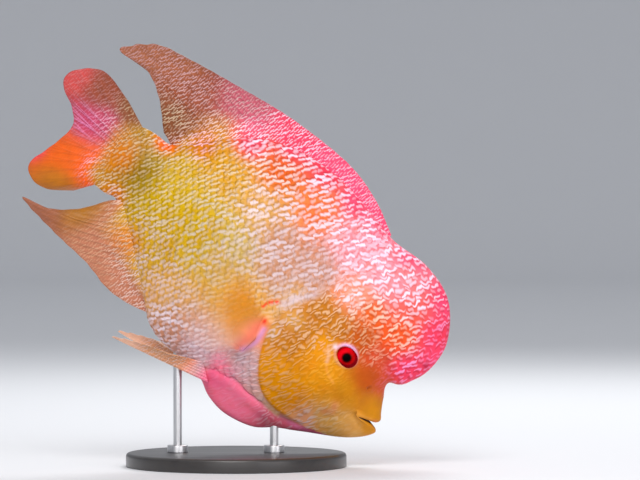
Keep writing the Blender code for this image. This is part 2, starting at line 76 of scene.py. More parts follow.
# Half width of the body at places of its side view: x, z, half width
halfWidths = {
    "tail root end": (-9, 5, 1), "tail root": (-3, 6, 3.6), "stalk": (7, 6, 6.6), "stalk top": (7, 24, 5),
    "stalk bottom": (7, -12, 5), "rear flank": (27, 10, 13), "rear back": (30, 40, 9.5),
    "rear belly": (32, -21, 10.5), "flank": (62, 14, 24), "mid back": (60, 64, 15.5), "vent": (66, -40, 17),
    "front flank": (98, 15, 30), "front back": (98, 72, 20), "belly": (98, -46, 22),
    "shoulder": (125, 15, 31.5), "shoulder top": (126, 70, 23), "pelvic root": (120, -46, 21),
    "gill cover": (147, -2, 31), "nape": (146, 64, 26.5), "throat": (145, -50, 15), "temple": (164, 28, 29),
    "eye": (173, 10, 26), "cheek": (171, -18, 25), "isthmus": (168, -40, 15), "hump side": (174, 50, 27.5),
    "hump crown": (172, 70, 22.5), "hump front": (202, 48, 20.5), "under hump": (195, 24, 19.5),
    "before eye": (188, 6, 20), "nostril": (198, 6, 14), "jaw hinge": (187, -18, 19),
    "mouth corner": (198, -9.5, 13.6), "snout": (206.5, 0, 11), "upper lip": (209, -5, 10.5),
    "lower lip": (211, -13, 10.5), "chin": (203, -22, 12), "chin rear": (187, -33, 13),
}


# Smooth step from 0 to 1
def ease(x):
    x = np.clip(x, 0, 1)
    return x * x * (3 - 2 * x)


# A bell of a distance: exp(-(gap / breadth)^2)
def bell(gap, breadth):
    return np.exp(-((gap / breadth) ** 2))


# Arrays or numbers of one shape put side by side as the last axis
def pack(*parts):
    return np.stack(np.broadcast_arrays(*parts), axis=-1)


# Sum of the steps between points along an axis, from 0 at the first
def runningLength(points, axis=0):
    steps = np.linalg.norm(np.diff(points, axis=axis), axis=-1)
    return np.insert(np.cumsum(steps, axis=axis), 0, 0, axis=axis)


# A Catmull-Rom curve through the points, and its running length
def smoothLine(points, step=24):
    knots = np.array(points, float)
    ends = np.vstack([2 * knots[0] - knots[1], knots, 2 * knots[-1] - knots[-2]])
    t = np.linspace(0, 1, step, endpoint=False)[:, None]
    spans = [
        0.5 * (2 * b + (c - a) * t + (2 * a - 5 * b + 4 * c - d) * t**2 + (3 * b - a - 3 * c + d) * t**3)
        for a, b, c, d in zip(ends, ends[1:], ends[2:], ends[3:])
    ]
    line = np.vstack([*spans, knots[-1:]])
    return line, runningLength(line)


# Places on such a curve by share of its length: 0 to 1 up to the split point, 1 to 2 from there to the end
def along(points, station, split=None):
    line, length = smoothLine(points)
    stops, marks = [0, 1], [0, length[-1]]
    if split is not None:
        stops, marks = [0, 1, 2], [0, length[split * 24], length[-1]]
    at = np.interp(station, stops, marks)
    return np.stack([np.interp(at, length, axis) for axis in line.T], axis=-1)


# Weights of the thin plate spline r^2 log r that passes through the named half widths
def widthWeights():
    known = np.array(list(halfWidths.values())) / (100.0, 100.0, 1.0)
    plane = np.c_[np.ones(len(known)), known[:, :2]]
    apart = ((known[:, None, :2] - known[None, :, :2]) ** 2).sum(axis=2)
    system = np.block([[apart * np.log(apart + 1e-9), plane], [plane.T, np.zeros((3, 3))]])
    return known, np.linalg.solve(system, np.r_[known[:, 2], np.zeros(3)])


widthKnots, widthSpline = widthWeights()


# Half width at side view places: the spline's sum over its knots plus a plane
def halfWidth(places):
    at = places.reshape(-1, 2) / 100.0
    width = widthSpline[len(widthKnots)] + at @ widthSpline[len(widthKnots) + 1:]
    for knot, weight in zip(widthKnots, widthSpline):
        apart = (at[:, 0] - knot[0]) ** 2 + (at[:, 1] - knot[1]) ** 2
        width += weight * apart * np.log(apart + 1e-9)
    return np.maximum(width, 0.5).reshape(places.shape[:-1])


# The body: rings from back to belly by station, round the body by angle. A ring's side view is a parabola
# in cos(angle) through back, middle and belly, its y is the half width times a power of sin(angle), with a
# lip bead.
def bodySurface(station, angle):
    station, angle = np.broadcast_arrays(station, angle)
    back = along(bodyPlan["back"], station, bodyPlan["nape"])
    belly = along(bodyPlan["belly"], station, bodyPlan["breast"])
    head = along(bodyPlan["headMiddle"], np.clip(station - 1, 0, 1))
    share = ease((station - 0.85) / 0.3)[..., None]
    middle = (back + belly) / 2 * (1 - share) + head * share
    lean = np.cos(angle)[..., None]
    side = back * lean * (lean + 1) / 2 + middle * (1 - lean**2) + belly * lean * (lean - 1) / 2
    fullness = 1 - (1 - bodyPlan["bluntness"]) * ease((station - 1.5) / 0.3)
    y = -np.sign(np.sin(angle)) * np.abs(np.sin(angle)) ** fullness * halfWidth(side)
    bead = bodyPlan["lipBead"] * np.exp(-(((station - bodyPlan["lipStation"]) / bodyPlan["lipBreadth"]) ** 2))
    body = np.insert(side, 1, y, axis=-1)
    out = body - np.insert(bodyPlan["mouthMiddle"], 1, 0)
    return body + out * (bead / np.linalg.norm(out, axis=-1))[..., None]


eyePlan = {
    "place": (172.8, 9.9),
    "radius": 8.0,
    "corneaRise": 0.55,
    "corneaBreadth": 0.62,  # radians
    "shift": (-1.2, 0.5),  # of the ball from the solid's, towards snout and back
    "irisMiddle": (-0.85, 0.15),  # from the ball's middle
    "irisReach": (6.1, 5.2),
    "pupilMiddle": (0.2, -0.4),
    "pupil": 2.15,
    "shown": (5.35, 4.6),
}

# Where the fish's frame stands in the world: the right eye's box tells it
eyeCorners = np.array([list(corner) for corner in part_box("eye_right")])
eyeCentre = eyeCorners.mean(axis=0)
turnCos, turnSin = math.cos(math.radians(bodyPlan["headDown"])), math.sin(math.radians(bodyPlan["headDown"]))
eyeX, eyeZ = eyePlan["place"]
origin = (
    eyeCentre[0] - mm * (eyeX * turnCos + eyeZ * turnSin),
    eyeCentre[2] - mm * (eyeZ * turnCos - eyeX * turnSin),
)


# Fish millimetres to metres of the frame: a turn of headDown about y, then the shift to the origin
def toWorld(points):
    x, y, z = np.moveaxis(points, -1, 0) * mm
    return pack(origin[0] + x * turnCos + z * turnSin, y, origin[1] + z * turnCos - x * turnSin)


# Signed distance of side view places to a line of points, plus on the line's left hand
def fromLine(x, z, line):
    path = smoothLine(line, 6)[0]
    best = np.full(x.shape, 1e9)
    side = np.zeros(x.shape)
    for a, b in zip(path, path[1:]):
        way = b - a
        t = np.clip(((x - a[0]) * way[0] + (z - a[1]) * way[1]) / (way @ way), 0, 1)
        gap = np.hypot(x - a[0] - t * way[0], z - a[1] - t * way[1])
        near = gap < best
        best = np.where(near, gap, best)
        side = np.where(near, np.sign(way[0] * (z - a[1]) - way[1] * (x - a[0])), side)
    return best * side


# Distance to a spot, or signed to a line of points
def fromMark(x, z, mark):
    return np.hypot(x - mark[0], z - mark[1]) if np.ndim(mark) == 1 else fromLine(x, z, mark)


# Lines of the side view that colours and folds follow
headLines = {
    "coverEdge": (
        (144, 90), (141, 60), (136, 26), (129.5, 10), (126.8, 0), (128.6, -10.5), (132.5, -20),
        (138, -28.5), (145, -35.5), (153, -39.5), (163, -40.5), (175, -38.5), (190, -36),
    ),
    "cheekFold": ((151, 17), (148.8, 6), (148, -6), (149.5, -17), (153, -26)),
    "throatFold": ((114, -52), (122, -47), (134, -44), (150, -43.5), (166, -43), (180, -37.5)),
    "humpFold": ((148, 50), (163, 37), (180, 27), (196, 18.5), (202, 14.5)),
    "finRoot": ((124.5, -6), (125, -17), (123.5, -29)),
    "jawFold": ((198.5, -11), (195, -14), (191.5, -19), (187.5, -25)),
    "lipFold": ((196, -8.5), (198.5, -7.4), (202.5, -6.6), (206.8, -5.4)),
    "chinFold": ((199.5, -13), (203.5, -14.6), (208, -14)),
    "streak": ((124, 8), (128, 15), (133.5, 24)),
    "broadMarks": ((120, 40), (136, 40), (150, 38), (163, 35), (180, 26), (202, 14.5)),
}

palette = {
    "gold": (0.78, 0.62, 0), "olive gold": (0.49, 0.39, 0.02), "pale gold": (0.78, 0.6, 0.12),
    "sand": (0.88, 0.64, 0.24), "amber": (0.9, 0.57, 0), "dark gold": (0.78, 0.5, 0),
    "brown gold": (0.74, 0.44, 0.02), "orange gold": (0.81, 0.57, 0), "orange": (0.82, 0.44, 0.07),
    "deep orange": (0.88, 0.35, 0), "red orange": (0.96, 0.33, 0.05), "brown orange": (0.74, 0.31, 0),
    "umber": (0.5, 0.27, 0.11), "rust": (0.58, 0.27, 0.15), "fawn": (0.64, 0.36, 0.22),
    "clay": (0.72, 0.44, 0.32), "russet": (0.52, 0.22, 0.1), "bright orange": (0.97, 0.46, 0.22),
    "flush": (0.97, 0.54, 0.58), "pale clay": (0.76, 0.52, 0.4), "pale tan": (0.76, 0.65, 0.36),
    "grey cream": (0.79, 0.76, 0.73), "brick": (0.82, 0.28, 0.14), "light gold": (1, 0.74, 0.25),
    "tan": (0.84, 0.62, 0.32), "peach": (0.9, 0.63, 0.48), "salmon": (0.98, 0.56, 0.42),
    "coral": (0.97, 0.37, 0.34), "red": (0.94, 0.22, 0.36), "hot pink": (0.99, 0.27, 0.44),
    "magenta": (0.95, 0.38, 0.54), "rose": (1, 0.47, 0.6), "old rose": (0.76, 0.33, 0.4),
    "orchid": (0.72, 0.22, 0.36), "ash pink": (0.8, 0.64, 0.66), "bronze": (0.64, 0.4, 0),
    "dark red": (0.8, 0.25, 0.24), "cream": (0.86, 0.8, 0.68), "dull cream": (0.78, 0.68, 0.54),
    "warm white": (0.94, 0.87, 0.84), "pink white": (1.0, 0.91, 0.99), "lilac": (0.86, 0.8, 0.84),
    "lilac white": (0.93, 0.88, 0.93), "pink": (0.98, 0.6, 0.82), "pale pink": (0.98, 0.78, 0.86),
    "pale orange": (0.98, 0.77, 0.64), "dusty pink": (0.8, 0.62, 0.62), "pale peach": (0.9, 0.72, 0.55),
}

# Patches of the skin: x, z, reach, ground colour, colour of its pale marks, strokes, their broadness, wavy
# lines
flankPatches = {
    "tail root": (0, 6, 8, "orange", "dull cream", 0.8, 0, 0),
    "tail stalk": (13, 8, 12, "olive gold", "dull cream", 0.65, 0, 0),
    "stalk top": (12, 29, 5, "red orange", "warm white", 0.9, 0, 0),
    "stalk bottom": (10, -13, 5, "orange", "warm white", 0.8, 0, 0),
    "rear flank": (32, 10, 18, "gold", "cream", 0.7, 0.2, 0),
    "flank": (58, 8, 18, "gold", "grey cream", 0.7, 0.4, 0),
    "under flank": (48, -20, 12, "pale gold", "lilac", 0.7, 0.5, 0),
    "middle flank": (84, 12, 13, "pale tan", "lilac", 0.7, 0.9, 0),
    "behind fin": (107, -5, 14, "sand", "cream", 0.4, 0, 0),
    "low shoulder": (110, 18, 12, "pale clay", "lilac", 0.8, 0.7, 0.2),
    "middle shoulder": (98, 32, 11, "pale clay", "lilac", 0.8, 0.7, 0.1),
    "shoulder": (124, 36, 12, "pale clay", "lilac", 0.8, 0.7, 0.3),
    "front back": (102, 60, 12, "bright orange", "lilac white", 0.85, 0.4, 0),
    "upper flank": (80, 40, 13, "tan", "lilac white", 0.8, 0.6, 0),
    "rear upper flank": (50, 40, 12, "orange gold", "cream", 0.7, 0.1, 0),
    "high flank": (72, 61, 10, "deep orange", "warm white", 0.8, 0.1, 0),
    "rear back": (48, 62, 7, "red", "pink white", 1, 0.7, 0),
    "mid back": (68, 79, 8, "red", "pink white", 1, 0.6, 0),
    "back": (92, 81, 8, "red", "pink white", 0.9, 0.4, 0),
    "fore back": (116, 79, 8, "hot pink", "pink white", 0.8, 0.1, 0),
    "soft fin root": (28, 42, 6, "orange", "pale pink", 0.9, 0, 0),
    "nape": (132, 60, 12, "flush", "pink white", 1, 0.5, 0.4),
    "nape top": (138, 79, 7, "hot pink", "pink white", 0.9, 0.4, 0.3),
    "belly": (86, -46, 12, "pale clay", "lilac white", 0.9, 0.9, 0),
    "low flank": (70, -34, 11, "tan", "lilac", 0.5, 0.6, 0),
    "fore belly": (106, -46, 11, "ash pink", "lilac white", 0.6, 0.2, 0.3),
    "breast": (126, -32, 7, "ash pink", "lilac white", 0, 0, 0.5),
    "low breast": (122, -44, 6, "rose", "lilac", 0, 0, 0.3),
    "anal fin root": (34, -29, 7, "orange", "dull cream", 0.7, 0, 0),
    "fin root": (122, -14, 6, "salmon", "peach", 0, 0, 0),
    "behind gill": (125, 14, 8, "tan", "lilac", 0.6, 0.7, 0.6),
}
headPatches = {
    "crown": (160, 78, 8, "hot pink", "pink white", 0, 0.3, 0.95),
    "brow": (192, 73, 8, "hot pink", "pale pink", 0, 0, 0.9),
    "hump nose": (213, 45, 7, "hot pink", "pink", 0, 0.1, 0.6),
    "hump top": (164, 64, 10, "flush", "pink white", 0, 0.9, 1),
    "hump middle": (180, 56, 10, "coral", "pink white", 0, 0.5, 1),
    "hump": (184, 42, 10, "red orange", "pale orange", 0, 0.5, 1),
    "fore hump": (201, 54, 9, "red", "pink", 0, 0.1, 0.6),
    "under hump": (203, 28, 8, "red", "pink", 0, 0, 1),
    "hump root": (164, 38, 7, "deep orange", "pale orange", 0, 0.5, 1),
    "temple": (150, 40, 8, "salmon", "lilac white", 0.2, 0.7, 1),
    "nape side": (150, 60, 9, "flush", "pink white", 0.3, 0.7, 1),
    "above eye": (170, 25, 7, "brown orange", "pale peach", 0, 0.2, 0.6),
    "before hump": (184, 21, 6, "brick", "pale orange", 0, 0, 0.55),
    "behind eye": (156, 20, 7, "brown gold", "pale peach", 0, 0, 0.75),
    "gill cover top": (143, 18, 9, "brown gold", "pale peach", 0, 0, 0.8),
    "gill cover": (139, -4, 9, "brown gold", "pale peach", 0, 0, 0.75),
    "gill cover rim": (131, -8, 4, "tan", "lilac", 0, 0, 0.9),
    "gill cover back": (135, 4, 5, "tan", "lilac", 0, 0.2, 0.9),
    "gill cover low": (142, -24, 9, "amber", "pale peach", 0, 0, 0.55),
    "cheek": (167, -6, 10, "amber", "light gold", 0, 0, 0.4),
    "cheek front": (183, -6, 7, "dark gold", "light gold", 0, 0, 0.1),
    "cheek rear": (157, 7, 5, "amber", "warm white", 0, 0, 0.5),
    "cheek low": (164, -29, 8, "amber", "pale peach", 0, 0, 0.5),
    "before eye": (189, 9, 7, "brown orange", "orange", 0, 0, 0),
    "snout": (203, -1, 8, "dark gold", "tan", 0, 0, 0),
    "notch": (199, 12, 6, "brick", "pink", 0, 0, 0.2),
    "chin": (203, -19, 6, "tan", "cream", 0, 0, 0.1),
    "lower lip": (208, -12, 4, "dark gold", "cream", 0, 0, 0),
    "jaw": (188, -24, 7, "tan", "cream", 0, 0, 0.5),
    "jaw rear": (178, -34, 6, "peach", "lilac", 0, 0, 0.8),
}
throatPatches = {
    "throat": (140, -54, 12, "rose", "pale pink", 0, 0, 0.12),
    "rear throat": (124, -52, 8, "magenta", "pale pink", 0, 0, 0.12),
    "fore throat": (168, -45, 8, "old rose", "lilac", 0, 0, 0.4),
    "pelvic root": (116, -55, 5, "rose", "warm white", 0.1, 0, 0),
}


# sRGB numbers to linear light
def linear(colour):
    colour = np.asarray(colour, float)
    return np.where(colour <= 0.04045, colour / 12.92, ((colour + 0.055) / 1.055) ** 2.4)


# Each place takes the mean of the patches, weighted by exp(-2.3 sqrt((distance / reach)^2 + 0.2))
def blendPatches(x, z, patches):
    total = np.zeros(x.shape)
    ground, pearl, drawing = (np.zeros(x.shape + (3,)) for _ in range(3))
    for px, pz, reach, groundName, pearlName, *marks in patches.values():
        apart = ((x - px) ** 2 + (z - pz) ** 2) / reach**2
        weight = np.exp(-2.3 * np.sqrt(apart + 0.2))
        total += weight
        ground += weight[..., None] * linear(palette[groundName])
        pearl += weight[..., None] * linear(palette[pearlName])
        drawing += weight[..., None] * np.array(marks)
    return [values / total[..., None] for values in (ground, pearl, drawing)]


# Spots and lines laid over the broad colours: a place or a line's points, breadth, colour, strength, and
# how much of the marks it hides
skinTints = {
    "cheek speck": ((162.6, 10.2), 1.5, (0.94, 0.86, 0.9), 0.95, 1),
    "cheek dash": (((160.5, 6.5), (163.5, 3.5), (165, 0.5)), 1.1, (0.95, 0.74, 0.6), 0.6, 0.6),
    "cheek crescent": (((166, -1), (169, -3.5), (172.5, -5), (176, -6)), 0.8, (0.98, 0.68, 0.36), 0.35, 0.5),
    "gill streak": (headLines["streak"], 1.7, (0.84, 0.8, 0.9), 0.5, 0),
    "red line": (((116.5, -1.5), (117, 1.5), (119, 4.5), (121.5, 7)), 0.8, (0.92, 0.1, 0.1), 0.95, 1),
    "fin root": (((122.5, -10), (122.5, -20), (121.5, -28)), 3.2, (0.96, 0.46, 0.36), 0.75, 1),
    "fin root rim": (((126, -10), (127.5, -19), (125, -27)), 1.5, (0.92, 0.64, 0.86), 0.8, 1),
    "red spot": ((123, -6.4), 1.7, (0.88, 0, 0.03), 1, 1),
    "hump pit": ((209.2, 37.4), 1.9, (0.66, 0, 0.22), 0.8, 1),
    # painted shade in the nostril's pit
    "nostril": ((193.5, 5.5), 0.8, (0.45, 0.18, 0.02), 0.35, 1),
    "chin rim": (((168, -41.5), (180, -39), (192, -34.5)), 1.6, (0.74, 0.36, 0.52), 0.8, 1),
    "upper lip": (((200, -9.2), (203.5, -8.4), (207, -6.8)), 1.1, (0.84, 0.56, 0.2), 0.7, 1),
    "lip tip": ((209.8, -6.6), 1.4, (0.9, 0.5, 0.32), 0.6, 1),
    "jaw flush": (((186, -15), (187, -19), (183.5, -22)), 2.2, (0.86, 0.52, 0.4), 0.5, 0.5),
}


# How far places lie outside the eye's oval opening, in millimetres, and in which direction from its middle
def fromEye(x, z):
    middle = np.sum([eyePlan[label] for label in ("place", "shift", "irisMiddle")], axis=0)
    reach = eyePlan["shown"]
    forward, up = (x - middle[0]) / reach[0], (z - middle[1]) / reach[1]
    return (np.hypot(forward, up) - 1) * sum(reach) / 2, np.arctan2(up, forward)


# Where the skin's regions meet: millimetres, and places as start and reach of a fade
meetings = {
    "coverBlur": 0.9,  # breadth of the gill cover's edge, and what it gains towards the nape
    "napeBlur": 12,
    "nape": (6, 30),
    "throatBlur": 2.4,
    "throat": (112, 10),
    "coverShadow": ((0.66, 0.34, 0.16), 0.8, 0.15),  # tone, breadth and strength of the painted shadow along the gill cover's edge
    # where that painted shadow fades out, above a height and in front of a place
    "lineTop": (24, -6),
    "lineFront": (180, -8),
    "eyeRing": ((0.93, 0.74, 0.94), 1.3, 1.0),  # tone, distance from the opening and breadth
    "ringBrightest": 112,  # degrees from the snout's direction
    "eyeRim": ((0.50, 0.03, 0.06), 0.6),
}


# A smooth step that starts at a place of a coordinate and is full after its reach, backwards where that is
# negative
def fade(value, start, reach):
    return ease((value - start) / reach)


# Broad colours of the skin by side view place: flank, head and throat meet along the gill cover's edge and
# folds; tints over them include painted shade in the nostril and a painted shadow along the gill cover's edge
def paintBody(points):
    x, z = points[..., 0], points[..., 2]
    edge = fromLine(x, z, headLines["coverEdge"])
    blur = meetings["coverBlur"] + meetings["napeBlur"] * fade(z, *meetings["nape"])
    inHead = ease(edge / blur + 0.5)[..., None]
    fold = fromLine(x, z, headLines["throatFold"])
    inThroat = (ease(0.5 - fold / meetings["throatBlur"]) * fade(x, *meetings["throat"]))[..., None]
    flank, head, throat = (blendPatches(x, z, p) for p in (flankPatches, headPatches, throatPatches))
    upper = (f * (1 - inHead) + h * inHead for f, h in zip(flank, head))
    ground, pearl, drawing = (values * (1 - inThroat) + t * inThroat for values, t in zip(upper, throat))

    # Ground mixed with a colour by the amount, which also hides the drawing
    def tint(amount, colour, strength=1.0, hides=1.0):
        nonlocal ground, drawing
        amount = (np.clip(amount, 0, 1) * strength)[..., None]
        ground = ground * (1 - amount) + linear(colour) * amount
        drawing = drawing * (1 - amount * hides)

    for mark, breadth, colour, strength, hides in skinTints.values():
        tint(bell(fromMark(x, z, mark), breadth), colour, strength, hides)
    outside, way = fromEye(x, z)
    tone, middle, breadth = meetings["eyeRing"]
    bright = np.clip(np.cos(way - np.radians(meetings["ringBrightest"])) * 1.2 - 0.15, 0, 1)
    tint(bell(outside - middle, breadth) * (0.18 + 0.82 * bright), tone)
    tint(ease((0.5 - outside) / 0.8), *meetings["eyeRim"])
    # A painted shadow along the gill cover's edge, low down and towards the rear
    tone, breadth, strength = meetings["coverShadow"]
    shown = fade(z, *meetings["lineTop"]) * fade(x, *meetings["lineFront"])
    tint(bell(edge, breadth) * shown, tone, strength)
    return ground, pearl, np.clip(drawing, 0, 1)


print("body plan ready")


# Shader building. A wire is a node's output: sums, differences and products of wires that carry numbers,
# and of plain numbers, add the nodes that work them out.
class Wire:
    def __init__(self, socket):
        self.socket, self.tree = socket, socket.id_data

    # One calculation node with this wire as its first number
    def by(self, operation, *others, clamp=False):
        inputs = dict(enumerate((self, *others)))
        return addNode(self.tree, "ShaderNodeMath", inputs, operation=operation, use_clamp=clamp)

    def __add__(self, other):
        return self.by("ADD", other)

    def __sub__(self, other):
        return self.by("SUBTRACT", other)

    def __mul__(self, other):
        return self.by("MULTIPLY", other)

    def __abs__(self):
        return self.by("ABSOLUTE")


# Each input of a node is a wire or a plain value
def fillNode(node, inputs):
    for key, value in inputs.items():
        if isinstance(value, Wire):
            value.tree.links.new(value.socket, node.inputs[key])
        else:
            node.inputs[key].default_value = value


# A new node with its inputs and settings, and the wire of the output named by give, or a list of several
def addNode(tree, kind, inputs, give=0, **settings):
    node = tree.nodes.new(kind)
    for key, value in settings.items():
        setattr(node, key, value)
    fillNode(node, inputs)
    if isinstance(give, tuple):
        return [Wire(node.outputs[label]) for label in give]
    return Wire(node.outputs[give])


# A value stored on the mesh
def attribute(tree, name, give="Vector"):
    return addNode(tree, "ShaderNodeAttribute", {}, give, attribute_name=name)


# Place in the object's own frame, in metres
def objectPlace(tree):
    return addNode(tree, "ShaderNodeTexCoord", {}, "Object")


# The three numbers of a vector
def split(vector):
    return addNode(vector.tree, "ShaderNodeSeparateXYZ", {0: vector}, (0, 1, 2))


# A vector of three numbers, the first of them a wire
def join(x, y, z):
    return addNode(x.tree, "ShaderNodeCombineXYZ", {0: x, 1: y, 2: z})


# A calculation with two vectors, or a vector and a number
def vectorCalc(operation, vector, other, give=0, into=1):
    return addNode(vector.tree, "ShaderNodeVectorMath", {0: vector, into: other}, give, operation=operation)


# A colour or vector times a number
def scaled(vector, share):
    return vectorCalc("SCALE", vector, share, into="Scale")


# 0 at start, 1 at end, smooth between
def smoothStep(value, start, end):
    inputs = {"Value": value, "From Min": start, "From Max": end}
    return addNode(value.tree, "ShaderNodeMapRange", inputs, interpolation_type="SMOOTHSTEP")


# From colour a to b by the factor
def mixColour(factor, a, b, blend="MIX"):
    inputs = {0: factor, 6: a, 7: b}
    return addNode(factor.tree, "ShaderNodeMix", inputs, 2, data_type="RGBA", blend_type=blend)


# Noise by scale, and how far it is bent by itself
def noise(vector, scale, detail=0.0, distortion=0.0, give="Fac"):
    inputs = {"Vector": vector, "Scale": scale, "Detail": detail, "Distortion": distortion}
    return addNode(vector.tree, "ShaderNodeTexNoise", inputs, give)


# Three numbers from -0.5 to 0.5 out of a random colour
def centred(colour):
    return [number - 0.5 for number in split(colour)]


# Normals of a surface raised by the height
def bump(height, distance, strength=0.7):
    inputs = {"Height": height, "Distance": distance, "Strength": strength}
    return addNode(height.tree, "ShaderNodeBump", inputs)


# A node group. Its inputs are numbers with a default value, or a vector where that is None. It is given
# back with the wires of its inputs and the node that takes its outputs.
def newGroup(name, inputs, outputs):
    tree = bpy.data.node_groups.new(name, "ShaderNodeTree")
    for label, value in inputs.items():
        kind = "NodeSocketVector" if value is None else "NodeSocketFloat"
        made = tree.interface.new_socket(name=label, in_out="INPUT", socket_type=kind)
        if value is not None:
            made.default_value = value
    for label in outputs:
        tree.interface.new_socket(name=label, in_out="OUTPUT", socket_type="NodeSocketFloat")
    source = tree.nodes.new("NodeGroupInput")
    return tree, [Wire(source.outputs[label]) for label in inputs], tree.nodes.new("NodeGroupOutput")


strokePlan = {  # in millimetres, where a note says nothing else
    "stack": 2.35,  # between two stacks of strokes
    "climb": 5.7,  # between the strokes of a stack
    "dice": {"along": 3.0, "across": 0.9, "lean": 0.5},  # by how much each stroke is moved and turned
    "ripple": 2.4,
    "rippleScale": 0.55,  # noise scales are to the lattice's unit
    "roughScale": 1.5,
    "roughRipple": 0.35,
    "roughAlong": 1.4,
    "roughWidth": 1.3,  # share of the half width
    "leastLength": 0.55,  # added to each stroke's random share of the half length
    # how far the painted shadow lies beside its stroke
    "shadeAside": 1.05,
    "softness": (1.75, 0.2),  # half widths from the stroke's line at which its edge starts and is full
    "strength": (0.8, 0.76),  # spread and mean
}


# Pale strokes, and a painted shadow beside them, each the same stroke moved a little across. The lattice is
# read in scales: x counts columns towards the head, y rows towards the back. Strokes stand in stacks half a
# column apart, each stack one row higher than the last. The distance to a stroke is that to a short leaning
# line, sqrt(across^2 + max(|along| - half length, 0)^2), and the nearer of two stacks counts.
def makeStrokeGroup():
    plan, dice = strokePlan, strokePlan["dice"]
    inputs = {"Lattice": None, "Half Length": 1.2, "Half Width": 0.62, "Lean": 0.2}
    tree, wires, sink = newGroup("scaleStrokes", inputs, ("Strokes", "Shade"))
    lattice, halfLength, halfWidth, lean = wires
    x, y, z = split(lattice)
    rough = centred(noise(lattice, plan["roughScale"], give="Color"))
    ripple = rough[0] * plan["roughRipple"] + (noise(lattice, plan["rippleScale"], 1.0) - 0.5)
    stacks = x * 2.0
    nearest = stacks.by("ROUND")
    beside = nearest + (stacks - nearest).by("SIGN")
    strokes = shade = 0.0
    for number in (nearest, beside):
        heights = (y - number.by("FLOORED_MODULO", 2.0)) * 0.5
        level = heights.by("ROUND")
        cell = join(number, level, z)
        colour, value = addNode(tree, "ShaderNodeTexWhiteNoise", {"Vector": cell}, ("Color", "Value"))
        roll = centred(colour)
        along = roll[1] * dice["along"] + (heights - level) * plan["climb"]
        along = rough[1] * plan["roughAlong"] + along
        across = (stacks - number) * plan["stack"] + (ripple * plan["ripple"] + roll[2] * dice["across"])
        across = across - along * (roll[0] * dice["lean"] + lean)
        beyond = (abs(along) - halfLength * (value + plan["leastLength"])).by("MAXIMUM", 0.0)
        wide = halfWidth * (rough[2] * plan["roughWidth"] + 1.0)

        # One at the stroke, fading past its width
        def mark(aside):
            apart = (aside * aside + beyond * beyond).by("SQRT")
            return smoothStep(apart, wide * plan["softness"][0], wide * plan["softness"][1])

        spread, mean = plan["strength"]
        strokes = mark(across).by("MULTIPLY", roll[0] * spread + mean, clamp=True).by("MAXIMUM", strokes)
        # The painted shadow: the same mark moved across by shadeAside
        shade = mark(across + plan["shadeAside"]).by("MAXIMUM", shade)
    fillNode(sink, {"Strokes": strokes, "Shade": shade})
    return tree


rayPlan = {
    "forks": ((0.35, 0.24), (0.68, 0.11)),  # shares of the length where they start, and final spread in rays
    "breadth": (-0.07, 0.17),  # gain towards the rim, and breadth at the root
    "joints": 1.1,  # to a millimetre
}


# Rays that fork twice on their way out, with short joints: the distance to a branch is ||x| - first| -
# second. Place is read as x in rays, y from root 0 to rim 1, z in millimetres along the ray.
def makeRayGroup():
    tree, (place,), sink = newGroup("finRays", {"Place": None}, ("Rays", "Joints"))
    x, y, z = split(place)
    first, second = (smoothStep(y, start, 1.0) * wide for start, wide in rayPlan["forks"])
    apart = abs(abs(abs(x.by("FRACT") - 0.5) - first) - second)
    breadth = y * rayPlan["breadth"][0] + rayPlan["breadth"][1]
    joint = abs((z * rayPlan["joints"]).by("FRACT") - 0.5)
    rays = smoothStep(apart, breadth, breadth * 0.3)
    fillNode(sink, {"Rays": rays, "Joints": smoothStep(joint, 0.12, 0.05)})
    return tree


strokeGroup, rayGroup = makeStrokeGroup(), makeRayGroup()


# The stroke group in a material: its strokes and the painted shadow beside them
def drawStrokes(lattice, length, width, lean=0.0):
    inputs = {"Lattice": lattice, "Half Length": length, "Half Width": width, "Lean": lean}
    return addNode(lattice.tree, "ShaderNodeGroup", inputs, ("Strokes", "Shade"), node_tree=strokeGroup)


# A material with values for its shader's inputs, their names written with lines for spaces
def newMaterial(name, **values):
    made = bpy.data.materials.new(name)
    made.use_nodes = True
    shader = made.node_tree.nodes["Principled BSDF"]
    fillNode(shader, {key.replace("_", " "): value for key, value in values.items()})
    return made, made.node_tree, shader


skinLook = {
    "strokeAcross": (0.75, -0.158, 0.0),  # the flank's strokes run 19 degrees off the scales' rows
    "strokeAlong": (0.50, 0.89, 0.0),
    "strokeLength": 1.9,
    "strokeWidth": 0.52,
    "broaden": 0.34,  # added to the half width where the patches say broad
    "hump": {  # millimetres, but for rise, calm and bend
        "across": 2.8, "along": 7.6, "rise": 0.06, "cell": 3.6, "calm": 1.6, "bend": (0.6, 0.6),
        "length": 1.6, "width": 0.48,
    },
    "cover": {
        "across": 2.3, "along": 5.4, "rise": 0.3, "cell": 4.4, "calm": 1.0, "bend": (1.1, 0.8),
        "length": 1.3, "width": 0.62,
    },
    "sideways": -0.8,  # how |y| counts with x as the way forward
    "mottle": (170.0, 0.3, 0.87),  # noise scale, spread and mean
    "warm": (0.94, 0.74, 0.50, 1),
    "warmPearl": (0.97, 0.88, 0.82, 1),
    # how much the strokes' painted shadow darkens the ground
    "shade": -0.25,
    "roughness": 0.38,
    "relief": 0.14 * mm,
}


# The same strokes laid level along the head and bent by noise that is calm across them, x and |y| counted
# together as the way forward
def bentStrokes(place, look, broad):
    x, y, z = split(place)
    forward = abs(y) * skinLook["sideways"] + x
    upward = forward * -look["rise"] + z
    cell = 1000 / look["cell"]
    waves = join(upward * (cell / look["calm"]), forward * cell, y * (0.3 * cell))
    bend = centred(noise(waves, 1.0, 0.3, give="Color"))
    across = upward * (500 / look["across"]) + bend[0] * look["bend"][0]
    lattice = join(across, forward * (2000 / look["along"]) + bend[1] * look["bend"][1], 3.0)
    return drawStrokes(lattice, look["length"], broad * skinLook["broaden"] + look["width"])
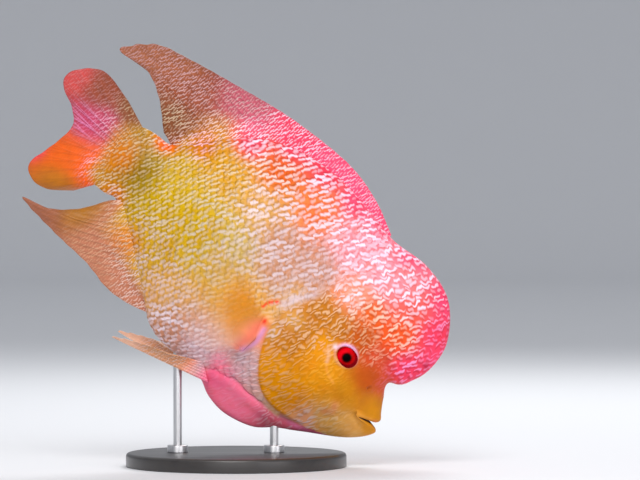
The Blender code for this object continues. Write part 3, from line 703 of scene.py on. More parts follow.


# Skin and scales: ground colour, pale strokes by the lattice, wavy ones on the head, and a painted shadow
# beside the strokes
def makeSkinMaterial():
    look = skinLook
    made, tree, shader = newMaterial(
        "wet_skin", Coat_Weight=0.08, Coat_Roughness=0.2, IOR=1.4, Specular_IOR_Level=0.16,
    )
    onFlank, broad, onHead = split(attribute(tree, "drawing"))
    onHump = attribute(tree, "onHump", "Fac")
    place, lattice = objectPlace(tree), attribute(tree, "lattice")
    ways = look["strokeAcross"], look["strokeAlong"]
    across, onward = (vectorCalc("DOT_PRODUCT", lattice, way, 1) for way in ways)
    width = broad * look["broaden"] + look["strokeWidth"]
    flank = drawStrokes(join(across, onward, 0.0), look["strokeLength"], width)
    hump, cover = (bentStrokes(place, look[region], broad) for region in ("hump", "cover"))
    head = ((onHump * (h - c) + c) * onHead for h, c in zip(hump, cover))
    # pale: the strokes; dark: the painted shadow beside them
    pale, dark = ((f * onFlank).by("MAXIMUM", h, clamp=True) for f, h in zip(flank, head))
    scale, spread, mean = look["mottle"]
    # The ground is darkened by that painted shadow and by a random mottle
    shade = dark * look["shade"] + (noise(place, scale, 3.0) * spread + mean)
    warm = smoothStep(noise(place, 95.0, 2.0), 0.42, 0.72)
    ground = mixColour(warm * 0.4, scaled(attribute(tree, "ground"), shade), look["warm"], "MULTIPLY")
    pearl = mixColour(warm * 0.25, attribute(tree, "pearl", "Color"), look["warmPearl"], "MULTIPLY")
    fine = noise(place, 1400.0, 2.0)
    fillNode(shader, {
        "Base Color": mixColour(pale * 0.92, ground, pearl),
        "Normal": bump(fine * 0.2 + (pale - dark * 0.4), look["relief"]),
        "Roughness": fine * 0.14 + (pale * -0.06 + look["roughness"]),
    })
    return made


finLook = {
    "membrane": 0.24,
    "rayRise": 0.42,
    "perRay": 8,
    "rows": 64,
    "blend": 0.3,  # share of the fin's height over which the body's colours run into it
    "markCell": (3.0, 1.9),  # millimetres to a column and a row of the marks
    "strokeLength": 2.0,
    "strokeWidth": 0.52,
    "strokeLean": 0.15,
    "mottle": (220.0, 0.35, 0.84),  # noise scale, spread and mean
    "relief": 0.4 * mm,
    "rim": 0.12,  # least half thickness
    "clearest": 0.96,
}


# Fins: faint rays, the body's pale strokes with their painted shadow, and a membrane as clear as its patches
# tell
def makeFinMaterial():
    look = finLook
    made, tree, shader = newMaterial(
        "fin_membrane", Coat_Weight=0.15, Coat_Roughness=0.25, IOR=1.4, Specular_IOR_Level=0.3,
    )
    onMarks, clearness, onRays = split(attribute(tree, "drawing"))
    place = {"Place": attribute(tree, "finPlace")}
    rays, joints = addNode(tree, "ShaderNodeGroup", place, ("Rays", "Joints"), node_tree=rayGroup)
    lattice = attribute(tree, "lattice")
    strokes, beside = drawStrokes(lattice, look["strokeLength"], look["strokeWidth"], look["strokeLean"])
    scale, spread, mean = look["mottle"]
    mottle = noise(objectPlace(tree), scale, 3.0)
    rays = (joints * -0.4 + 1.0) * (rays * onRays)
    marks = strokes.by("MULTIPLY_ADD", onMarks, rays * (onRays - 0.4).by("MAXIMUM", 0.0), clamp=True)
    # beside is the strokes' painted shadow; with darker rays and a random mottle it scales the ground
    shade = beside * onMarks * -0.2 + (rays * -0.22 + (mottle * spread + mean))
    ground = scaled(attribute(tree, "ground"), shade)
    fillNode(shader, {
        "Base Color": mixColour(marks * 0.9, ground, attribute(tree, "pearl", "Color")),
        "Alpha": clearness * (rays * -0.5 + 1.0) * -1.0 + 1.0,
        "Normal": bump(rays, look["relief"]),
        "Roughness": mottle * 0.2 + 0.36,
    })
    return made


skinMaterial, finMaterial = makeSkinMaterial(), makeFinMaterial()
print("skin and fin finishes ready")


# Puts worked out arrays into a mesh. Faces are lists of equal-sided index arrays, bake holds a place on the
# map for each corner, vectors and colours one value for each vertex. A surface whose volume, the sum of a .
# (b x c) over its triangles, comes out negative is turned round.
def newPiece(name, verts, faces, material, bake=(), vectors=None, colours=None, replaced=()):
    corners = np.concatenate([verts[f[:, [0, k, k + 1]]] for f in faces for k in range(1, f.shape[1] - 1)])
    volume = np.einsum("ij,ij->i", corners[:, 0], np.cross(corners[:, 1], corners[:, 2])).sum()
    order = -1 if volume < 0 else 1
    mesh = bpy.data.meshes.new(name)
    mesh.from_pydata(verts.tolist(), [], [face for f in faces for face in f[:, ::order].tolist()])
    if bake:
        placed = np.concatenate([places[:, ::order].reshape(-1, 2) for places in bake])
        mesh.uv_layers.new(name="OFBake").data.foreach_set("uv", placed.astype(np.float32).ravel())
    for label, values in (vectors or {}).items():
        kind, key = ("FLOAT_VECTOR", "vector") if values.ndim == 2 else ("FLOAT", "value")
        mesh.attributes.new(label, kind, "POINT").data.foreach_set(key, values.astype(np.float32).ravel())
    for label, values in (colours or {}).items():
        tones = np.c_[values, np.ones(len(values))].astype(np.float32).ravel()
        mesh.color_attributes.new(label, "FLOAT_COLOR", "POINT").data.foreach_set("color", tones)
    mesh.polygons.foreach_set("use_smooth", np.ones(len(mesh.polygons), bool))
    mesh.materials.append(material)
    piece = bpy.data.objects.new(name, mesh)
    bpy.context.scene.collection.objects.link(piece)
    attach(piece, "root")
    if replaced:
        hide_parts(*replaced)
    print(name, sum(len(f) * (f.shape[1] - 2) for f in faces), "triangles")
    return piece


# Corner indices of a grid's quads; a wrapped grid joins its last column to its first
def gridQuads(rows, columns, wrapped=False):
    r, c = np.meshgrid(np.arange(rows - 1), np.arange(columns if wrapped else columns - 1), indexing="ij")
    here, after = r * columns + c, r * columns + (c + 1) % columns
    return pack(here, after, after + columns, here + columns).reshape(-1, 4)


# Fans that close a wrapped grid at its first and last ring, on the two points that follow the grid's own
def endFans(rows, columns):
    c, tip, last = np.arange(columns), rows * columns, (rows - 1) * columns
    after = (c + 1) % columns
    return [pack(tip, after, c), pack(tip + 1, last + c, last + after)]


# Rings round an axis, as faces with both ends closed
def closedRings(rows, columns):
    return [gridQuads(rows, columns, wrapped=True), np.vstack(endFans(rows, columns))]


# Unit normals of a surface by the cross product of its two ways
def surfaceNormals(onward, around):
    normal = np.cross(onward, around)
    return normal / np.maximum(np.linalg.norm(normal, axis=-1), 1e-9)[..., None]


# Scale lattice: columns and rows by arc length from the widest line, smaller scales towards the tail
lattice = {
    "column": (3.8, 4.8),  # millimetres between scales of a row at the tail and at the shoulder
    "row": (2.4, 2.95),
    "fullFrom": 0.7,  # station of the shoulder's size
    "stations": np.linspace(0, 1.4, 281),
    "angles": np.linspace(0, np.pi, 241),
    "rowGrid": np.arange(-48, 48, 0.1),
}


# Columns by station, rows by station and angle, and each ring's table of rows read backwards as angles
def makeLattice():
    stations, angles = lattice["stations"], lattice["angles"]
    rings = bodySurface(stations[:, None], angles[None, :])
    half = len(angles) // 2
    growth = ease(stations / lattice["fullFrom"])
    column, row = (small + (large - small) * growth for small, large in (lattice["column"], lattice["row"]))
    step = np.linalg.norm(np.diff(rings[:, half], axis=0), axis=1)
    lattice["columns"] = np.r_[0, np.cumsum(step / (column[1:] + column[:-1]) * 2)]
    arc = runningLength(rings, 1)
    lattice["rows"] = (arc[:, half:half + 1] - arc) / row[:, None]
    lattice["rowAngles"] = np.stack([np.interp(-lattice["rowGrid"], -t, angles) for t in lattice["rows"]])


makeLattice()


# A table of the lattice between its numbers: rows by station, columns by over, blended both ways
def readTable(table, station, over):
    at = np.interp(station, lattice["stations"], np.arange(len(table)))
    at, over = np.clip(at, 0, len(table) - 1.001), np.clip(over, 0, table.shape[1] - 1.001)
    i, j = at.astype(int), over.astype(int)
    share = over - j
    low, high = (table[row, j] * (1 - share) + table[row, j + 1] * share for row in (i, i + 1))
    return low * (1 - at + i) + high * (at - i)


# Lattice numbers of places on the body: column, row, and side 0 or 1
def latticeOf(station, angle):
    folded = np.where(angle > np.pi, 2 * np.pi - angle, angle)
    row = readTable(lattice["rows"], station, folded / np.pi * (len(lattice["angles"]) - 1))
    column = np.interp(station, lattice["stations"], lattice["columns"])
    return pack(column, row, (angle > np.pi).astype(float))


# The angle at which a row number lies on the ring of a station
def angleOf(station, row):
    grid = lattice["rowGrid"]
    return readTable(lattice["rowAngles"], station, (row - grid[0]) / (grid[1] - grid[0]))


skinGrid = {
    "trunkRings": 112,
    "headRings": 150,
    "lipRings": 40,
    "around": 316,
    "headFrom": 0.92,  # stations
    "lipsFrom": 1.88,
    "margin": 0.005,  # of the baked map
    "mouth": ((0.22, 0.05, 0.02), 1.98, 0.014),  # painted shadow in the mouth's line: tone, station at which it starts and reach
}


# Stations of the skin's rings, closer towards the tail and the lips
def skinStations():
    grid = skinGrid
    trunk = np.linspace(0, 1, grid["trunkRings"]) ** 1.1 * grid["headFrom"]
    head = np.linspace(grid["headFrom"], grid["lipsFrom"], grid["headRings"] + 1)[1:]
    return np.r_[trunk, head, np.linspace(grid["lipsFrom"], 2.0, grid["lipRings"] + 1)[1:]]


# Angles that share each ring's length evenly, from a dense ring's running length read backwards
def skinAngles(stations):
    dense = np.linspace(0, 2 * np.pi, 721)
    arc = runningLength(bodySurface(stations[:, None], dense[None, :]), 1)
    share = np.linspace(0, 1, skinGrid["around"], endpoint=False)
    return np.stack([np.interp(share, ring / ring[-1], dense) for ring in arc]), share


# Folds and pits: the line or spot, its ridges as (lift, distance from it, breadth) in millimetres, and
# where they fade in, as coordinate, start and reach
skinFolds = {
    "gill cover": (headLines["coverEdge"], ((-0.4, -0.9, 1.3),), (("z", 26, -10), ("x", 178, -12))),
    "cheek": (headLines["cheekFold"], ((0.45, 2.2, 1.8), (-0.75, 0, 1.0)), (("z", 24, -8), ("z", -26, 14))),
    "throat": (headLines["throatFold"], ((-1.0, 0, 1.3), (0.5, -4, 3)), (("x", 112, 10), ("x", 186, -10))),
    "hump": (headLines["humpFold"], ((-0.9, 0, 2.6), (0.6, 6, 4)), (("x", 146, 12),)),
    "fin root": (headLines["finRoot"], ((1.8, 0, 2.6),), ()),
    "jaw": (headLines["jawFold"], ((-0.4, 0, 2.0),), (("aside", 3, 4),)),
    "lip": (headLines["lipFold"], ((-0.3, 0, 1.0),), (("aside", 3, 4),)),
    "chin": (headLines["chinFold"], ((-0.25, 0, 1.3),), (("aside", 3, 4),)),
    "nostril": ((193.5, 5.5), ((0.3, 1.8, 0.7), (-0.9, 0, 0.9)), ()),
    "hump pit": ((209.6, 39.5), ((-0.9, 0, 1.0),), ()),
}
coverStep = {"rise": 0.8, "within": 1.6, "fadesOver": 12.0}
eyeSocket = {"rim": 0.6, "rimAt": 1.5, "rimBreadth": 1.2, "depth": 3.0, "from": 0.9, "reach": -1.9}


# How far folds, rims and pits lift the skin, in millimetres: bells of the distance to each line or spot,
# the gill cover's step, and the socket round the eye
def skinRelief(x, y, z):
    at = {"x": x, "z": z, "aside": np.abs(y)}
    lift = np.zeros(x.shape)
    for name, (mark, ridges, fades) in skinFolds.items():
        gap = fromMark(x, z, mark)
        part = sum(rise * bell(gap - place, breadth) for rise, place, breadth in ridges)
        if name == "gill cover":
            step = coverStep["rise"] * ease(gap / coverStep["within"])
            part += step * np.exp(-np.maximum(gap, 0) / coverStep["fadesOver"])
        for coordinate, start, reach in fades:
            part = part * fade(at[coordinate], start, reach)
        lift += part
    outside, socket = fromEye(x, z)[0], eyeSocket
    lift += socket["rim"] * bell(outside - socket["rimAt"], socket["rimBreadth"])
    return lift - socket["depth"] * fade(outside, socket["from"], socket["reach"])


snoutPlan = {
    "middle": (197, -3),
    "reach": (19, -9),  # where the evening ends, and over what it fades
    "rounds": 240,
    "share": 0.5,
}


# Evens out the sides of the snout: each place moves half way to the mean of its neighbours, over and over
def evenSnout(body, station):
    share = fade(np.abs(body[..., 1]), 3, 4) * fade(station, 1.5, 0.2) * fade(station, 1.955, -0.03)
    gap = np.hypot(body[..., 0] - snoutPlan["middle"][0], body[..., 2] - snoutPlan["middle"][1])
    share = (snoutPlan["share"] * share * fade(gap, *snoutPlan["reach"]))[1:-1, :, None]
    for _ in range(snoutPlan["rounds"]):
        beside = np.roll(body, 1, axis=1) + np.roll(body, -1, axis=1)
        body[1:-1] += share * ((beside[1:-1] + body[2:] + body[:-2]) / 4 - body[1:-1])
    return body


# Where the marks are broad: from the shoulder over nape and hump
def broadMarks(x, z):
    return ease(0.5 + fromLine(x, z, headLines["broadMarks"]) / 8) * fade(x, 116, 24)


fleshNodes = (
    "trunk", "head", "nuchal_hump", "throat", "lower_jaw", "gill_cover_right", "gill_cover_left", "tail_base",
)


# The skin: the body's rings, lifted along their normals, closed at tail root and mouth
def makeSkin():
    stations = skinStations()
    angles, share = skinAngles(stations)
    station = np.broadcast_to(stations[:, None], angles.shape)
    body = evenSnout(bodySurface(station, angles), station)
    around = np.roll(body, -1, axis=1) - np.roll(body, 1, axis=1)
    normal = surfaceNormals(np.gradient(body, axis=0), around)
    normal *= np.sign((normal[..., 1] * body[..., 1]).sum())
    x, y, z = body[..., 0], body[..., 1], body[..., 2]
    raised = body + normal * (skinRelief(x, y, z) * fade(station, 1.99, -0.03))[..., None]
    ground, pearl, drawing = paintBody(body)
    # The mouth's line is painted in a dark shadow tone
    mouthShadowTone, *mouthPlace = skinGrid["mouth"]
    inMouth = fade(station, *mouthPlace)[..., None]
    ground = ground * (1 - inMouth) + linear(mouthShadowTone) * inMouth
    rows, columns = body.shape[:2]
    verts = toWorld(raised).reshape(-1, 3)
    verts = np.vstack([verts, verts[:columns].mean(axis=0), verts[-columns:].mean(axis=0)])
    length = np.r_[0, np.cumsum(np.linalg.norm(np.diff(body, axis=0), axis=2).mean(axis=1))]
    margin = skinGrid["margin"]
    u, v = margin + (1 - 2 * margin) * length / length[-1], margin + (1 - 2 * margin) * np.r_[share, 1.0]
    r, c = np.meshgrid(np.arange(rows - 1), np.arange(columns), indexing="ij")

    quadMap = [pack(u[r + dr], v[c + dc]) for dr, dc in ((0, 0), (0, 1), (1, 1), (1, 0))]
    here, after = v[:-1], v[1:]
    bake = [
        np.stack(quadMap, axis=2).reshape(-1, 4, 2),
        np.stack([pack(0, here), pack(u[0], after), pack(u[0], here)], axis=1),
        np.stack([pack(1, here), pack(u[-1], here), pack(u[-1], after)], axis=1),
    ]
    faces = [gridQuads(rows, columns, wrapped=True), *endFans(rows, columns)]

    # Values of the lattice, then of the two tips
    def perVertex(values):
        flat = values.reshape(rows * columns, -1)
        flat = np.vstack([flat, flat[:1], flat[-1:]])
        return flat[:, 0] if values.ndim == 2 else flat

    newPiece(
        "skin", verts, faces, skinMaterial, bake,
        vectors={
            "lattice": perVertex(latticeOf(station, angles)), "drawing": perVertex(drawing),
            "onHump": perVertex(broadMarks(x, z)),
        },
        colours={"ground": perVertex(ground), "pearl": perVertex(pearl)},
        replaced=fleshNodes,
    )
    return stations, u


skinRingPlaces, skinRingU = makeSkin()


scalePlan = {
    "alongSteps": 5,
    "acrossSteps": 9,
    "rowNumbers": (-32, 38),
    "root": 1.0,  # columns in front of the cell's middle
    "edge": 0.52,  # columns behind it
    "bow": (0.95, 2.2),  # columns by which the free edge falls back at its ends, and the power it does so by
    "half": 1.02,  # rows to each side
    "rootWidth": 0.82,  # share of that
    "sunk": 0.30,
    "rise": (0.48, 1.2),  # and its power
    "droop": 0.06,  # of the sides
    "thickness": 0.3,
    "jitter": (0.05, 0.04),  # of the cell in lattice numbers, and of the height in millimetres
    "patch": 0.0045,  # size on the baked map
    "clearOfRidge": 0.35,  # rows
    "clearOfHead": 1.6,
    "overNape": (7, 30, 25),  # how much further they reach there, and the fade in z
    "clearOfRoot": 5.0,
}


# Cells of the lattice that carry a scale, every other row half a column on: those clear of back and belly
# edges, head, throat and fin root
def scaleCells():
    plan = scalePlan
    numbers = np.arange(1, int(lattice["columns"][-1])), np.arange(*plan["rowNumbers"])
    column, row = np.meshgrid(*numbers, indexing="ij")
    cells = pack(column + 0.5 * (row % 2), row).reshape(-1, 2).astype(float)
    cells += rng.uniform(-plan["jitter"][0], plan["jitter"][0], cells.shape)
    station = np.interp(cells[:, 0], lattice["columns"], lattice["stations"])
    high, low = (np.interp(station, lattice["stations"], lattice["rows"][:, end]) for end in (0, -1))
    middle = bodySurface(station, angleOf(station, cells[:, 1]))
    x, z = middle[:, 0], middle[:, 2]
    further, *nape = plan["overNape"]
    edge, fold, root = (fromLine(x, z, headLines[name]) for name in ("coverEdge", "throatFold", "finRoot"))
    kept = (cells[:, 1] < high - plan["clearOfRidge"]) & (cells[:, 1] > low + plan["clearOfRidge"])
    kept &= edge < -plan["clearOfHead"] + further * fade(z, *nape)
    kept &= ~((fold < 1.5) & (x > meetings["throat"][0])) & (np.abs(root) > plan["clearOfRoot"]) & (x > 1.5)
    return cells[kept]


# One side's scales as one mesh. A scale is a grid: columns run from root to bowed free edge, rows across it.
# Its height over the skin grows with a power of the way from its root, and its underside is a shallow fan.
def makeScales(name, side):
    plan = scalePlan
    s = np.linspace(0, 1, plan["alongSteps"])[:, None]
    t = np.linspace(-1, 1, plan["acrossSteps"])[None, :]
    onward = plan["root"] + (plan["bow"][0] * np.abs(t) ** plan["bow"][1] - plan["edge"] - plan["root"]) * s
    across = plan["half"] * t * (plan["rootWidth"] + (1 - plan["rootWidth"]) * ease(s * 1.6))
    cells = scaleCells()
    columnAt = cells[:, 0, None, None] + onward[None]
    rowAt = cells[:, 1, None, None] + across[None]
    stationAt = np.interp(columnAt, lattice["columns"], lattice["stations"])
    angleAt = np.clip(angleOf(stationAt, rowAt), 0.03, np.pi - 0.03)
    if side > 0:
        angleAt = 2 * np.pi - angleAt
    base = bodySurface(stationAt, angleAt)
    nudge = 2e-3
    way = bodySurface(stationAt + nudge, angleAt) - bodySurface(np.maximum(stationAt - nudge, 0), angleAt)
    turn = bodySurface(stationAt, angleAt + nudge) - bodySurface(stationAt, angleAt - nudge)
    normal = surfaceNormals(way, turn)
    normal *= np.sign(normal[..., 1:2] * side)
    travel = (plan["root"] - onward) / (plan["root"] + plan["edge"])
    height = plan["rise"][0] * travel ** plan["rise"][1] - plan["sunk"] - plan["droop"] * t**2
    height = height[None] + rng.uniform(-plan["jitter"][1], plan["jitter"][1], (len(cells), 1, 1))
    top = base + normal * height[..., None]
    under = top - normal * plan["thickness"]
    count, rows, columns = stationAt.shape
    size = rows * columns
    rim = np.r_[np.arange(columns), np.arange(2, rows + 1) * columns - 1,
                size - 2 - np.arange(columns - 1), np.arange(rows - 2, 0, -1) * columns]
    top, under = top.reshape(count, size, 3), under.reshape(count, size, 3)
    verts = np.concatenate([top, under[:, rim], under[:, size // 2:size // 2 + 1]], axis=1)
    each = verts.shape[1]
    ring = size + np.arange(len(rim))
    nextRing, nextRim = np.roll(ring, -1), np.roll(rim, -1)
    quads = np.vstack([gridQuads(rows, columns), pack(rim, ring, nextRing, nextRim)])
    fan = pack(each - 1, nextRing, ring)
    shift = (np.arange(count) * each)[:, None, None]
    quads, fan = (quads[None] + shift).reshape(-1, 4), (fan[None] + shift).reshape(-1, 3)

    # Values of each scale's lattice, then of its lowered rim and its middle
    def perVertex(values):
        wide = values.reshape(count, size, -1)
        wide = np.concatenate([wide, wide[:, rim], wide[:, size // 2:size // 2 + 1]], axis=1)
        return wide.reshape(count * each, -1)

    ground, pearl, drawing = paintBody(base)
    places = pack(columnAt, rowAt, float(side > 0))
    rootStation = np.interp(cells[:, 0] + plan["root"], lattice["columns"], lattice["stations"])
    rootU = np.interp(rootStation, skinRingPlaces, skinRingU)[:, None, None]
    rootV = angleAt[:, :1, columns // 2:columns // 2 + 1] / (2 * np.pi)
    mapFlat = perVertex(pack(rootU + plan["patch"] * (0.5 - s), rootV + plan["patch"] * 0.5 * t))
    verts, faces = toWorld(verts.reshape(-1, 3)), [quads, fan]
    newPiece(
        name, verts, faces, skinMaterial, [mapFlat[corners] for corners in faces],
        vectors={
            "lattice": perVertex(places), "drawing": perVertex(drawing),
            "onHump": perVertex(broadMarks(base[..., 0], base[..., 2]))[:, 0],
        },
        colours={"ground": perVertex(ground), "pearl": perVertex(pearl)},
    )
    print(name, count, "scales")


makeScales("scales_right", -1)
makeScales("scales_left", 1)


# Patches of the fins: x, z, reach, ground colour, colour of the dashes, then dashes, clearness and rays
dorsalPatches = {
    "front": (140, 82, 14, "hot pink", "pink white", 0.65, 0.05, 0.3),
    "spines": (100, 88, 20, "hot pink", "pink white", 0.6, 0.05, 0.3),
    "rear spines": (64, 84, 13, "red", "pink white", 0.8, 0.05, 0.3),
    "fore root": (41, 66, 7, "magenta", "pink white", 0.9, 0, 0.2),
    "soft root": (34, 55, 9, "rust", "pale peach", 1, 0, 0.2),
    "soft low root": (20, 36, 8, "umber", "dusty pink", 1, 0, 0.2),
    "soft front": (30, 76, 12, "old rose", "dusty pink", 1, 0.05, 0.5),
    "soft middle": (5, 60, 12, "rust", "dusty pink", 1, 0.05, 0.5),
    "soft low": (5, 44, 9, "umber", "dull cream", 1, 0.05, 0.4),
    "soft upper": (-10, 72, 9, "fawn", "dusty pink", 0.9, 0.1, 0.4),
    "tip": (-38, 58, 13, "fawn", "dusty pink", 0.7, 0.15, 0.4),
}
analPatches = {
    "front": (62, -49, 9, "clay", "warm white", 0.6, 0.05, 0.3),
    "root": (35, -30, 12, "clay", "warm white", 0.8, 0, 0.2),
    "middle": (20, -42, 11, "clay", "pale peach", 0.35, 0.05, 0.55),
    "tip": (-20, -50, 12, "fawn", "dusty pink", 0.1, 0.2, 0.4),
    "rear": (2, -34, 8, "bronze", "dull cream", 0.05, 0.05, 0.3),
    "low rim": (32, -55, 7, "clay", "pale peach", 0.2, 0.1, 0.5),
}
caudalPatches = {
    "root": (-4, 6, 7, "orange", "dull cream", 1, 0, 0.3),
    "upper edge": (-18, 28, 8, "umber", "dull cream", 0.6, 0.05, 0.3),
    "upper": (-35, 27, 9, "russet", "dusty pink", 0.25, 0, 0.4),
    "upper rim": (-55, 23, 7, "dark red", "dusty pink", 0.3, 0.1, 0.5),
    "inner upper": (-22, 14, 7, "orchid", "pale pink", 0.6, 0.03, 0.7),
    "middle": (-30, 5, 8, "orchid", "pink", 0.25, 0.03, 0.95),
    "lower": (-26, -13, 11, "deep orange", "orange", 0.2, 0.02, 0.35),
    "lower edge": (-20, -32, 7, "brown gold", "orange", 0.1, 0.05, 0.3),
    "lower rim": (-43, -24, 4, "red", "orange", 0, 0.1, 0.4),
    "lower root": (-12, -11, 6, "red orange", "pale pink", 0.9, 0, 0.3),
}
pectoralPatches = {
    "root": (122, -16, 6, "salmon", "peach", 0, 0.1, 0),
    "middle": (110, -8, 12, "amber", "cream", 0, 0.6, 0.05),
    "upper": (96, 8, 8, "sand", "cream", 0, 0.8, 0.05),
    "rim": (80, -12, 12, "sand", "cream", 0, 0.95, 0.05),
    "low": (102, -36, 10, "pale orange", "peach", 0, 0.85, 0.05),
}
pelvicPatches = {
    "root": (118, -54, 8, "salmon", "warm white", 0.3, 0, 0.3),
    "middle": (95, -58, 9, "peach", "warm white", 0.6, 0.05, 0.5),
    "upper edge": (92, -54, 6, "tan", "warm white", 0.3, 0.05, 0.3),
    "tip": (66, -71, 8, "pale orange", "pale pink", 0, 0.15, 0.5),
}


# A fin from its roots, tips and count of rays. Each ray is an arc from the smooth line of roots to that of
# tips, bent at its middle, and the membrane between two rays stops a little short of the tips. place turns
# side view points into space. The fin is half + swell thick to each side, where half is the membrane plus
# |sin|^4 for each ray.
def makeFin(name, roots, tips, rays, place, patches, notch, swell, bend=(0, 0), rise=1.0, clearFrom=0.75):
    look, rows, columns = finLook, finLook["rows"], finLook["perRay"] * rays + 1
    size = rows * columns
    across = np.linspace(0, 1, columns)
    root, tip = along(roots, across), along(tips, across)
    short = 1 - notch * np.cos(np.pi * across * rays)[None, :, None] ** 2
    reach = np.linspace(0, 1, rows)[:, None, None] * short
    length = np.linalg.norm(tip - root, axis=1)[None, :, None]
    view = root * (1 - reach) + tip * reach + np.array(bend) * 4 * reach * (1 - reach) * length
    reach, short, length = reach[..., 0], short[..., 0], length[..., 0]
    middle = place(view, across[None, :], reach)
    ridge = np.abs(np.sin(np.pi * across * rays)) ** 4
    half = look["membrane"] + rise * look["rayRise"] * (1 - 0.8 * reach) * ridge[None, :]
    half = half * (1 - 0.45 * reach) + swell[0] * ease(1 - reach / swell[1])
    rimThin = ease((1 - reach / short) / 0.03)
    half = look["rim"] + (half - look["rim"]) * (0.35 + 0.65 * rimThin)
    normal = surfaceNormals(np.gradient(middle, axis=1), np.gradient(middle, axis=0))
    verts = np.concatenate([(middle + way * normal * half[..., None]).reshape(-1, 3) for way in (1, -1)])
    top = gridQuads(rows, columns)
    first, last = np.arange(columns - 1), (rows - 1) * columns + np.arange(columns - 1)
    left, right = np.arange(rows - 1) * columns, np.arange(1, rows) * columns - 1
    edges = ((first + 1, first), (last, last + 1), (left, left + columns), (right + columns, right))
    walls = [pack(a, b, b + size, a + size) for a, b in edges]
    faces = np.vstack([top, top[:, ::-1] + size, *walls])
    ground, pearl, drawing = blendPatches(view[..., 0], view[..., 1], patches)
    skinGround, skinPearl, _ = paintBody(np.insert(view, 1, 0.0, axis=-1))
    atRoot = ease(1.15 - reach / look["blend"])[..., None]
    ground, pearl = ground * (1 - atRoot) + skinGround * atRoot, pearl * (1 - atRoot) + skinPearl * atRoot
    cleared = fade(reach, clearFrom, 1 - clearFrom) * (0.1 + 0.9 * fade(drawing[..., 1], 0.3, 0.3))
    if clearFrom < 0.5:
        cleared = np.maximum(cleared, 1 - ease(np.minimum(across, 1 - across) / 0.22)) * ease(reach / 0.2)
    drawing[..., 1] += (look["clearest"] - drawing[..., 1]) * cleared
    values = {
        "drawing": drawing, "finPlace": pack(across * rays, reach, reach * length),
        "lattice": np.insert(view / look["markCell"], 2, 0.0, axis=-1), "ground": ground, "pearl": pearl,
    }
    values = {label: np.concatenate([value.reshape(size, -1)] * 2) for label, value in values.items()}
    colours = {label: values.pop(label) for label in ("ground", "pearl")}
    uv = pack(across, reach).reshape(size, 2) * (0.98, 0.485) + (0.01, 0.008)
    uv = np.concatenate([uv, uv + (0.0, 0.5)])
    verts = toWorld(verts)
    newPiece(name, verts, [faces], finMaterial, [uv[faces]], values, colours, replaced=(name,))


# A fin on the midline, swayed sideways towards the middle of its rear rays
def upright(amount, start, breadth):
    def place(view, across, reach):
        return np.insert(view, 1, amount * np.sin(np.pi * reach) * fade(across, start, breadth), axis=-1)
    return place


# The tail fin, its lower lobe curled to the far side
def curled(view, across, reach):
    return np.insert(view, 1, 4.0 * reach**2 + 9.0 * reach**1.6 * ease((across - 0.5) / 0.5), axis=-1)


# A pectoral fin, out from the side by a root and a power of the way along the rays
def spread(side, amount):
    def place(view, across, reach):
        return np.insert(view, 1, side * (27.0 + 5.0 * np.sqrt(reach) + amount * reach**1.3), axis=-1)
    return place


# A pelvic fin, trailed under the belly and drooping by the square of the way along the rays
def trailed(side, droop):
    def place(view, across, reach):
        out = side * (7.5 + 9.0 * reach + 3.0 * across * reach)
        return pack(view[..., 0], out, view[..., 1] - droop * reach**2)
    return place


# Roots and tips of the rays by side view place, from front to rear or from top to bottom
finPlans = {
    "dorsal_fin": {
        "roots": ((144, 74), (120, 77), (96, 78), (70, 72), (48, 60), (31, 42), (17, 28)),
        "tips": (
            (143, 79), (122, 87.8), (96, 92.3), (56, 89.2), (20, 81.7), (-14, 73.3), (-33, 66.4), (-46, 50),
            (-27, 52.3), (-11, 46), (6, 32.5),
        ),
        "rays": 28, "place": upright(3.5, 0.45, 0.4), "patches": dorsalPatches,
        "bend": (0, 0.05), "notch": 0.015, "swell": (1.6, 0.35),
    },
    "anal_fin": {
        "roots": ((72, -45), (55, -35), (38, -26), (24, -18.5), (14.5, -12.5)),
        "tips": (
            (71, -50.2), (58, -54.4), (43, -56.2), (24, -53.5), (0, -53.3), (-28.5, -51.2), (-13, -45.2),
            (0, -33.5), (10, -17.5),
        ),
        "rays": 16, "place": upright(-3, 0.35, 0.4), "patches": analPatches,
        "bend": (0, -0.05), "notch": 0.02, "swell": (3.2, 0.4),
    },
    "caudal_fin": {
        "roots": ((-1, 25), (-4, 15), (-4.5, 5), (-4, -5), (-1, -14)),
        "tips": (
            (-22, 31.8), (-42, 35), (-53, 28.5), (-58.5, 18.5), (-54, 11.5), (-44, 7.2), (-36, 0),
            (-35.5, -10), (-37.5, -22), (-39.5, -34), (-32.5, -39.8), (-22, -38.2), (-10, -28.5),
        ),
        "rays": 16, "place": curled, "patches": caudalPatches, "notch": 0.006, "swell": (1.4, 0.45),
    },
}
for sideName, finSide, finSpread in (("right", -1, 13.0), ("left", 1, 17.0)):
    finPlans[f"pectoral_fin_{sideName}"] = {
        "roots": ((125, -7), (125.5, -17), (124.5, -27.5)),
        "tips": (
            (92, 12), (76, 8), (71, -7), (74, -22), (84, -36), (99, -43), (113, -40),
        ),
        "rays": 14, "place": spread(finSide, finSpread), "patches": pectoralPatches,
        "notch": 0.03, "swell": (1, 0.25), "rise": 0, "clearFrom": 0.3,
    }
for sideName, finSide, finDroop in (("right", -1, 2.0), ("left", 1, -1.0)):
    finPlans[f"pelvic_fin_{sideName}"] = {
        "roots": ((123.5, -55.8), (118, -52.5), (112.5, -49.5)),
        "tips": ((63, -72.5), (72, -67), (84, -61), (97, -56)),
        "rays": 6, "place": trailed(finSide, finDroop), "patches": pelvicPatches,
        "bend": (0, -0.01), "notch": 0.03, "swell": (1.2, 0.3),
    }
for finName, finPlan in finPlans.items():
    makeFin(finName, **finPlan)
print("fins ready")


eyeTones = {
    "rear": (0.86, 0.0, 0.10),
    "front": (0.64, 0.0, 0.02),
    "streaks": (0.95, 0.10, 0.08),
    "rim": (0.50, 0.0, 0.05),
    "halo": (0.012, 0.0, 0.0, 1),
    "pupil": (0.0015, 0.001, 0.001, 1),
}


